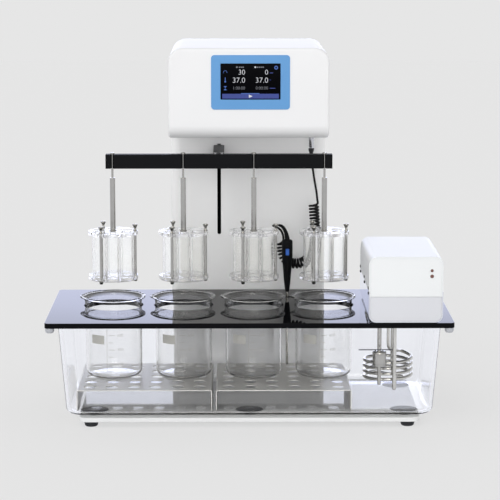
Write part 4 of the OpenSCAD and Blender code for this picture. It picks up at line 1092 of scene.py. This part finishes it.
def curl_line():
    """The lead wound round the middle of its curled stretch. It leans over bit by bit at both ends."""
    middle = catmull(CURL_ROUTE, 60)
    sides = frames(middle)
    total = sum((b - a).length for a, b in zip(middle, middle[1:]))
    steepest = math.atan(TAU * CURL_R / CURL_PITCH)
    line = []
    gone, turn = 0.0, CURL_START
    for i in range(len(middle) - 1):
        step = (middle[i + 1] - middle[i]).length / 8
        a, b = sides[i]
        for k in range(8):
            here = middle[i].lerp(middle[i + 1], k / 8)
            line.append(here + a * (CURL_R * math.cos(turn)) + b * (CURL_R * math.sin(turn)))
            lean = steepest * min(gone / CURL_ENTRY, (total - gone) / CURL_ENTRY, 1)
            turn += math.tan(max(lean, 0)) / CURL_R * step
            gone += step
    return line


def even_line(line, gap):
    """The same line with points at an even distance along it."""
    out = [line[0]]
    carried = 0.0
    for a, b in zip(line, line[1:]):
        length = (b - a).length
        while carried + length >= gap:
            part = (gap - carried) / length
            a = a.lerp(b, part)
            length = (b - a).length
            out.append(a)
            carried = 0.0
        carried += length
    return out


def build_cord():
    curl = curl_line()
    line = catmull(LEAD_ROUTE + [curl[0]], 10)[:-1] + curl + catmull([curl[-1]] + HOOK_ROUTE, 10)[1:]
    line += [Vector((57.5, 87.7, 328.6))]
    for _ in range(6):
        middle = [(a + b * 2 + c) / 4 for a, b, c in zip(line, line[1:], line[2:])]
        line = [line[0], *middle, line[-1]]
    line = even_line(line, 2.2)
    cord = make("probe_cord", Form().tube(line, LEAD_D / 2, 10), None, "cord_black", [CORD_BLACK],
                ["cord_lead", "cord_curl", "cord_hook"], crease=60, weigh=False)
    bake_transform(cord)
    relief_line = catmull(RELIEF_ROUTE, 14)
    last = len(relief_line) - 1
    radii = []
    for i in range(last + 1):
        rib = 0.35 if 6 < i < last - 8 and i % 5 < 2 else 0
        radii.append(LEAD_D / 2 + 0.25 + 2.4 * (i / last) ** 1.2 + rib)
    form = Form().tube(relief_line, radii, 24)
    relief = make("relief_form", form, "probe", "probe_black", [PROBE_BLACK], ["probe_relief"])


def build_probe():
    x, z = PROBE_SPOT[0], 203.8
    section = [(0, 0), (2.9, 0), (3.5, 0.5), (3.7, 1.6), (4.2, 4), (4.9, 9.5), (5.7, 16), (6.4, 24),
               (7.4, 37), (8.4, 50), (9.4, 61), (9.9, 67), (10, 72), (10, 93), (9.7, 95.6), (8.8, 97.2),
               (7.4, 98), (0, 98)]
    handle = Form().lathe([(r, z + h) for r, h in section], PROBE_SPOT, sides=56)
    seat = Form().slab(box(x - 3.5, 273.5, x + 3.5, 286.1, 1.2, 3), [(72, 0), (80.9, 0)], axis="y")
    place_piece("handle_form", carve(handle, seat), "probe", "probe_black", [PROBE_BLACK], ["probe_handle"])
    wall = [(74.8, 0.7), (75, 0.25), (75.4, 0), (79.7, 0)]
    button = Form().slab(box(x - 3.2, 273.8, x + 3.2, 285.8, 1, 3), wall, axis="y")
    for k in range(3):
        ridge = box(x - 2, 277.1 + 2.2 * k, x + 2, 278 + 2.2 * k, 0.4, 2)
        button.slab(ridge, [(74.55, 0.2), (74.9, 0)], axis="y")
    make("button_form", button, "button", "button_blue", [BUTTON_BLUE], ["probe_button"])
    tip = [(0, 64.9), (1.2, 65.1), (2.1, 65.9), (2.5, 67.2), (2.5, 203.9), (0, 203.9)]
    stem = Form().lathe(tip, PROBE_SPOT, sides=28)
    make("stem_form", stem, "probe", "polished_steel", [STEEL], ["probe_stem"])


# ---------- light, floor and camera ----------

# The paper keeps this share of its shading, and with it the shadow. SKY holds stops from the front, 0,
# over the sides to the back, 1, each with the light that comes from there.
PAPER_SHARE = 0.25
SKY_TOP = 3.5
SKY = ((0, 1.02, 1, 0.96), (0.07, 0.85, 0.83, 0.79), (0.24, 0.34, 0.335, 0.32), (0.5, 0.26, 0.26, 0.265),
       (0.7, 0.62, 0.62, 0.63), (0.94, 0.88, 0.89, 0.93), (0.965, 1.45, 1.5, 1.68), (0.98, 2.42, 2.55, 3.25),
       (0.991, 2.48, 2.62, 3.35))


def direction(tree):
    """The outputs X, Y and Z of the way in which a ray meets the world."""
    spot = add_node(tree, "TexCoord").outputs["Generated"]
    return add_node(tree, "SeparateXYZ", [("Vector", spot)]).outputs


def mirror_sky(tree):
    """What polished pieces reflect: a backdrop that is bright low down at the back, and dark sides."""
    way = direction(tree)
    spread = add_node(tree, "MapRange", [("Value", way["Y"])], From_Min=-1)
    fade = add_node(tree, "MapRange", [("Value", way["Z"])], From_Min=0.16, To_Max=0.25)
    place = add_node(tree, "Math", [(0, spread.outputs["Result"]), (1, fade.outputs["Result"])])
    place.operation = "SUBTRACT"
    ramp = add_node(tree, "ValToRGB", [("Fac", place.outputs["Value"])])
    while len(ramp.color_ramp.elements) < len(SKY):
        ramp.color_ramp.elements.new(0.5)
    for element, (position, *light) in zip(ramp.color_ramp.elements, SKY):
        element.position = position
        element.color = [c / SKY_TOP for c in light] + [1]
    sky = add_node(tree, "Background", [("Color", ramp.outputs["Color"])], Strength=SKY_TOP)
    return sky.outputs["Background"]


def room_light(tree):
    """What dull pieces are lit by: an even room with a band of soft boxes low down all round."""
    band = add_node(tree, "MapRange", [("Value", direction(tree)["Z"])],
                    From_Min=0.22, From_Max=0.42, To_Min=1.2, To_Max=0.64)
    room = add_node(tree, "Background", [("Strength", band.outputs["Result"])], Color=tone(255, 255, 255))
    return room.outputs["Background"]


def light_world():
    world = bpy.data.worlds.new("studio")
    bpy.context.scene.world = world
    world.use_nodes = True
    tree = world.node_tree
    tree.nodes.clear()
    rays = add_node(tree, "LightPath").outputs

    def sky(*colour):
        return add_node(tree, "Background", Color=tone(*colour), Strength=1).outputs["Background"]

    mirror = mirror_sky(tree)
    mirrored = add_node(tree, "Math", [(0, rays["Glossy Depth"])])
    mirrored.operation = "GREATER_THAN"
    mirrored.inputs[1].default_value = 0.5
    through = mix_by(tree, mirrored.outputs["Value"], sky(250, 252, 255), mirror)
    seen = mix_by(tree, rays["Is Glossy Ray"], room_light(tree), mirror)
    seen = mix_by(tree, rays["Is Transmission Ray"], seen, through)
    seen = mix_by(tree, rays["Is Camera Ray"], seen, sky(230, 230, 230))
    add_node(tree, "OutputWorld", [("Surface", seen)])


def build_floor():
    """Pale paper under and behind the part. Its own glow shows only to the rays that look at it."""
    look = bpy.data.materials.new("floor_paper")
    look.use_nodes = True
    tree = look.node_tree
    tree.nodes.clear()
    rays = add_node(tree, "LightPath").outputs
    paper = add_node(tree, "BsdfDiffuse", Color=tone(230, 230, 230)).outputs["BSDF"]
    seen = paper
    for kind, colour in (("Glossy", (0.86, 0.88, 0.95, 1)), ("Transmission", tone(246, 248, 255)),
                         ("Camera", tone(234, 234, 234))):
        glow = add_node(tree, "Emission", Color=colour).outputs["Emission"]
        lit = add_node(tree, "MixShader", [(1, glow), (2, paper)], Fac=PAPER_SHARE).outputs["Shader"]
        seen = mix_by(tree, rays[f"Is {kind} Ray"], seen, lit)
    add_node(tree, "OutputMaterial", [("Surface", seen)])
    floor = Form().slab(circle(0, 0, 9000, 64), [(-6, 0), (0, 0)])
    place_piece("floor", solid_mesh("floor", floor), None, None, [look])


def add_sun(name, strength, spread, tilt, turn):
    """A sun lamp as wide as its spread, tilted from straight down and turned, all in degrees."""
    sun = bpy.data.lights.new(name, "SUN")
    sun.energy = strength
    sun.angle = math.radians(spread)
    lamp = bpy.data.objects.new(name, sun)
    lamp.rotation_euler = (math.radians(tilt), 0, math.radians(turn))
    bpy.context.collection.objects.link(lamp)


def add_camera():
    lens = bpy.data.cameras.new("camera")
    lens.lens = 145.8
    lens.sensor_width = 36
    camera = bpy.data.objects.new("camera", lens)
    camera.location = (-0.0284, -3.69317, 0.90064)
    camera.rotation_euler = (math.radians(90 - 9.447), 0, math.radians(-0.479))
    bpy.context.collection.objects.link(camera)
    bpy.context.scene.camera = camera


build_base()
build_column()
build_head()
build_rear_cover()
build_inner_drive()
build_display()
build_socket()
build_lift()
build_bath()
build_tray("beaker_tray_left", -187)
build_tray("beaker_tray_right", 61)
build_lid()
build_beakers()
build_baskets()
build_heater()
build_coil()
build_probe()
build_cord()
light_world()
build_floor()
add_sun("key", 0.66, 50, 50, -36)
add_sun("front_fill", 0.5, 26, 82.5, 4)
add_camera()
bpy.context.scene.view_settings.view_transform = "Standard"
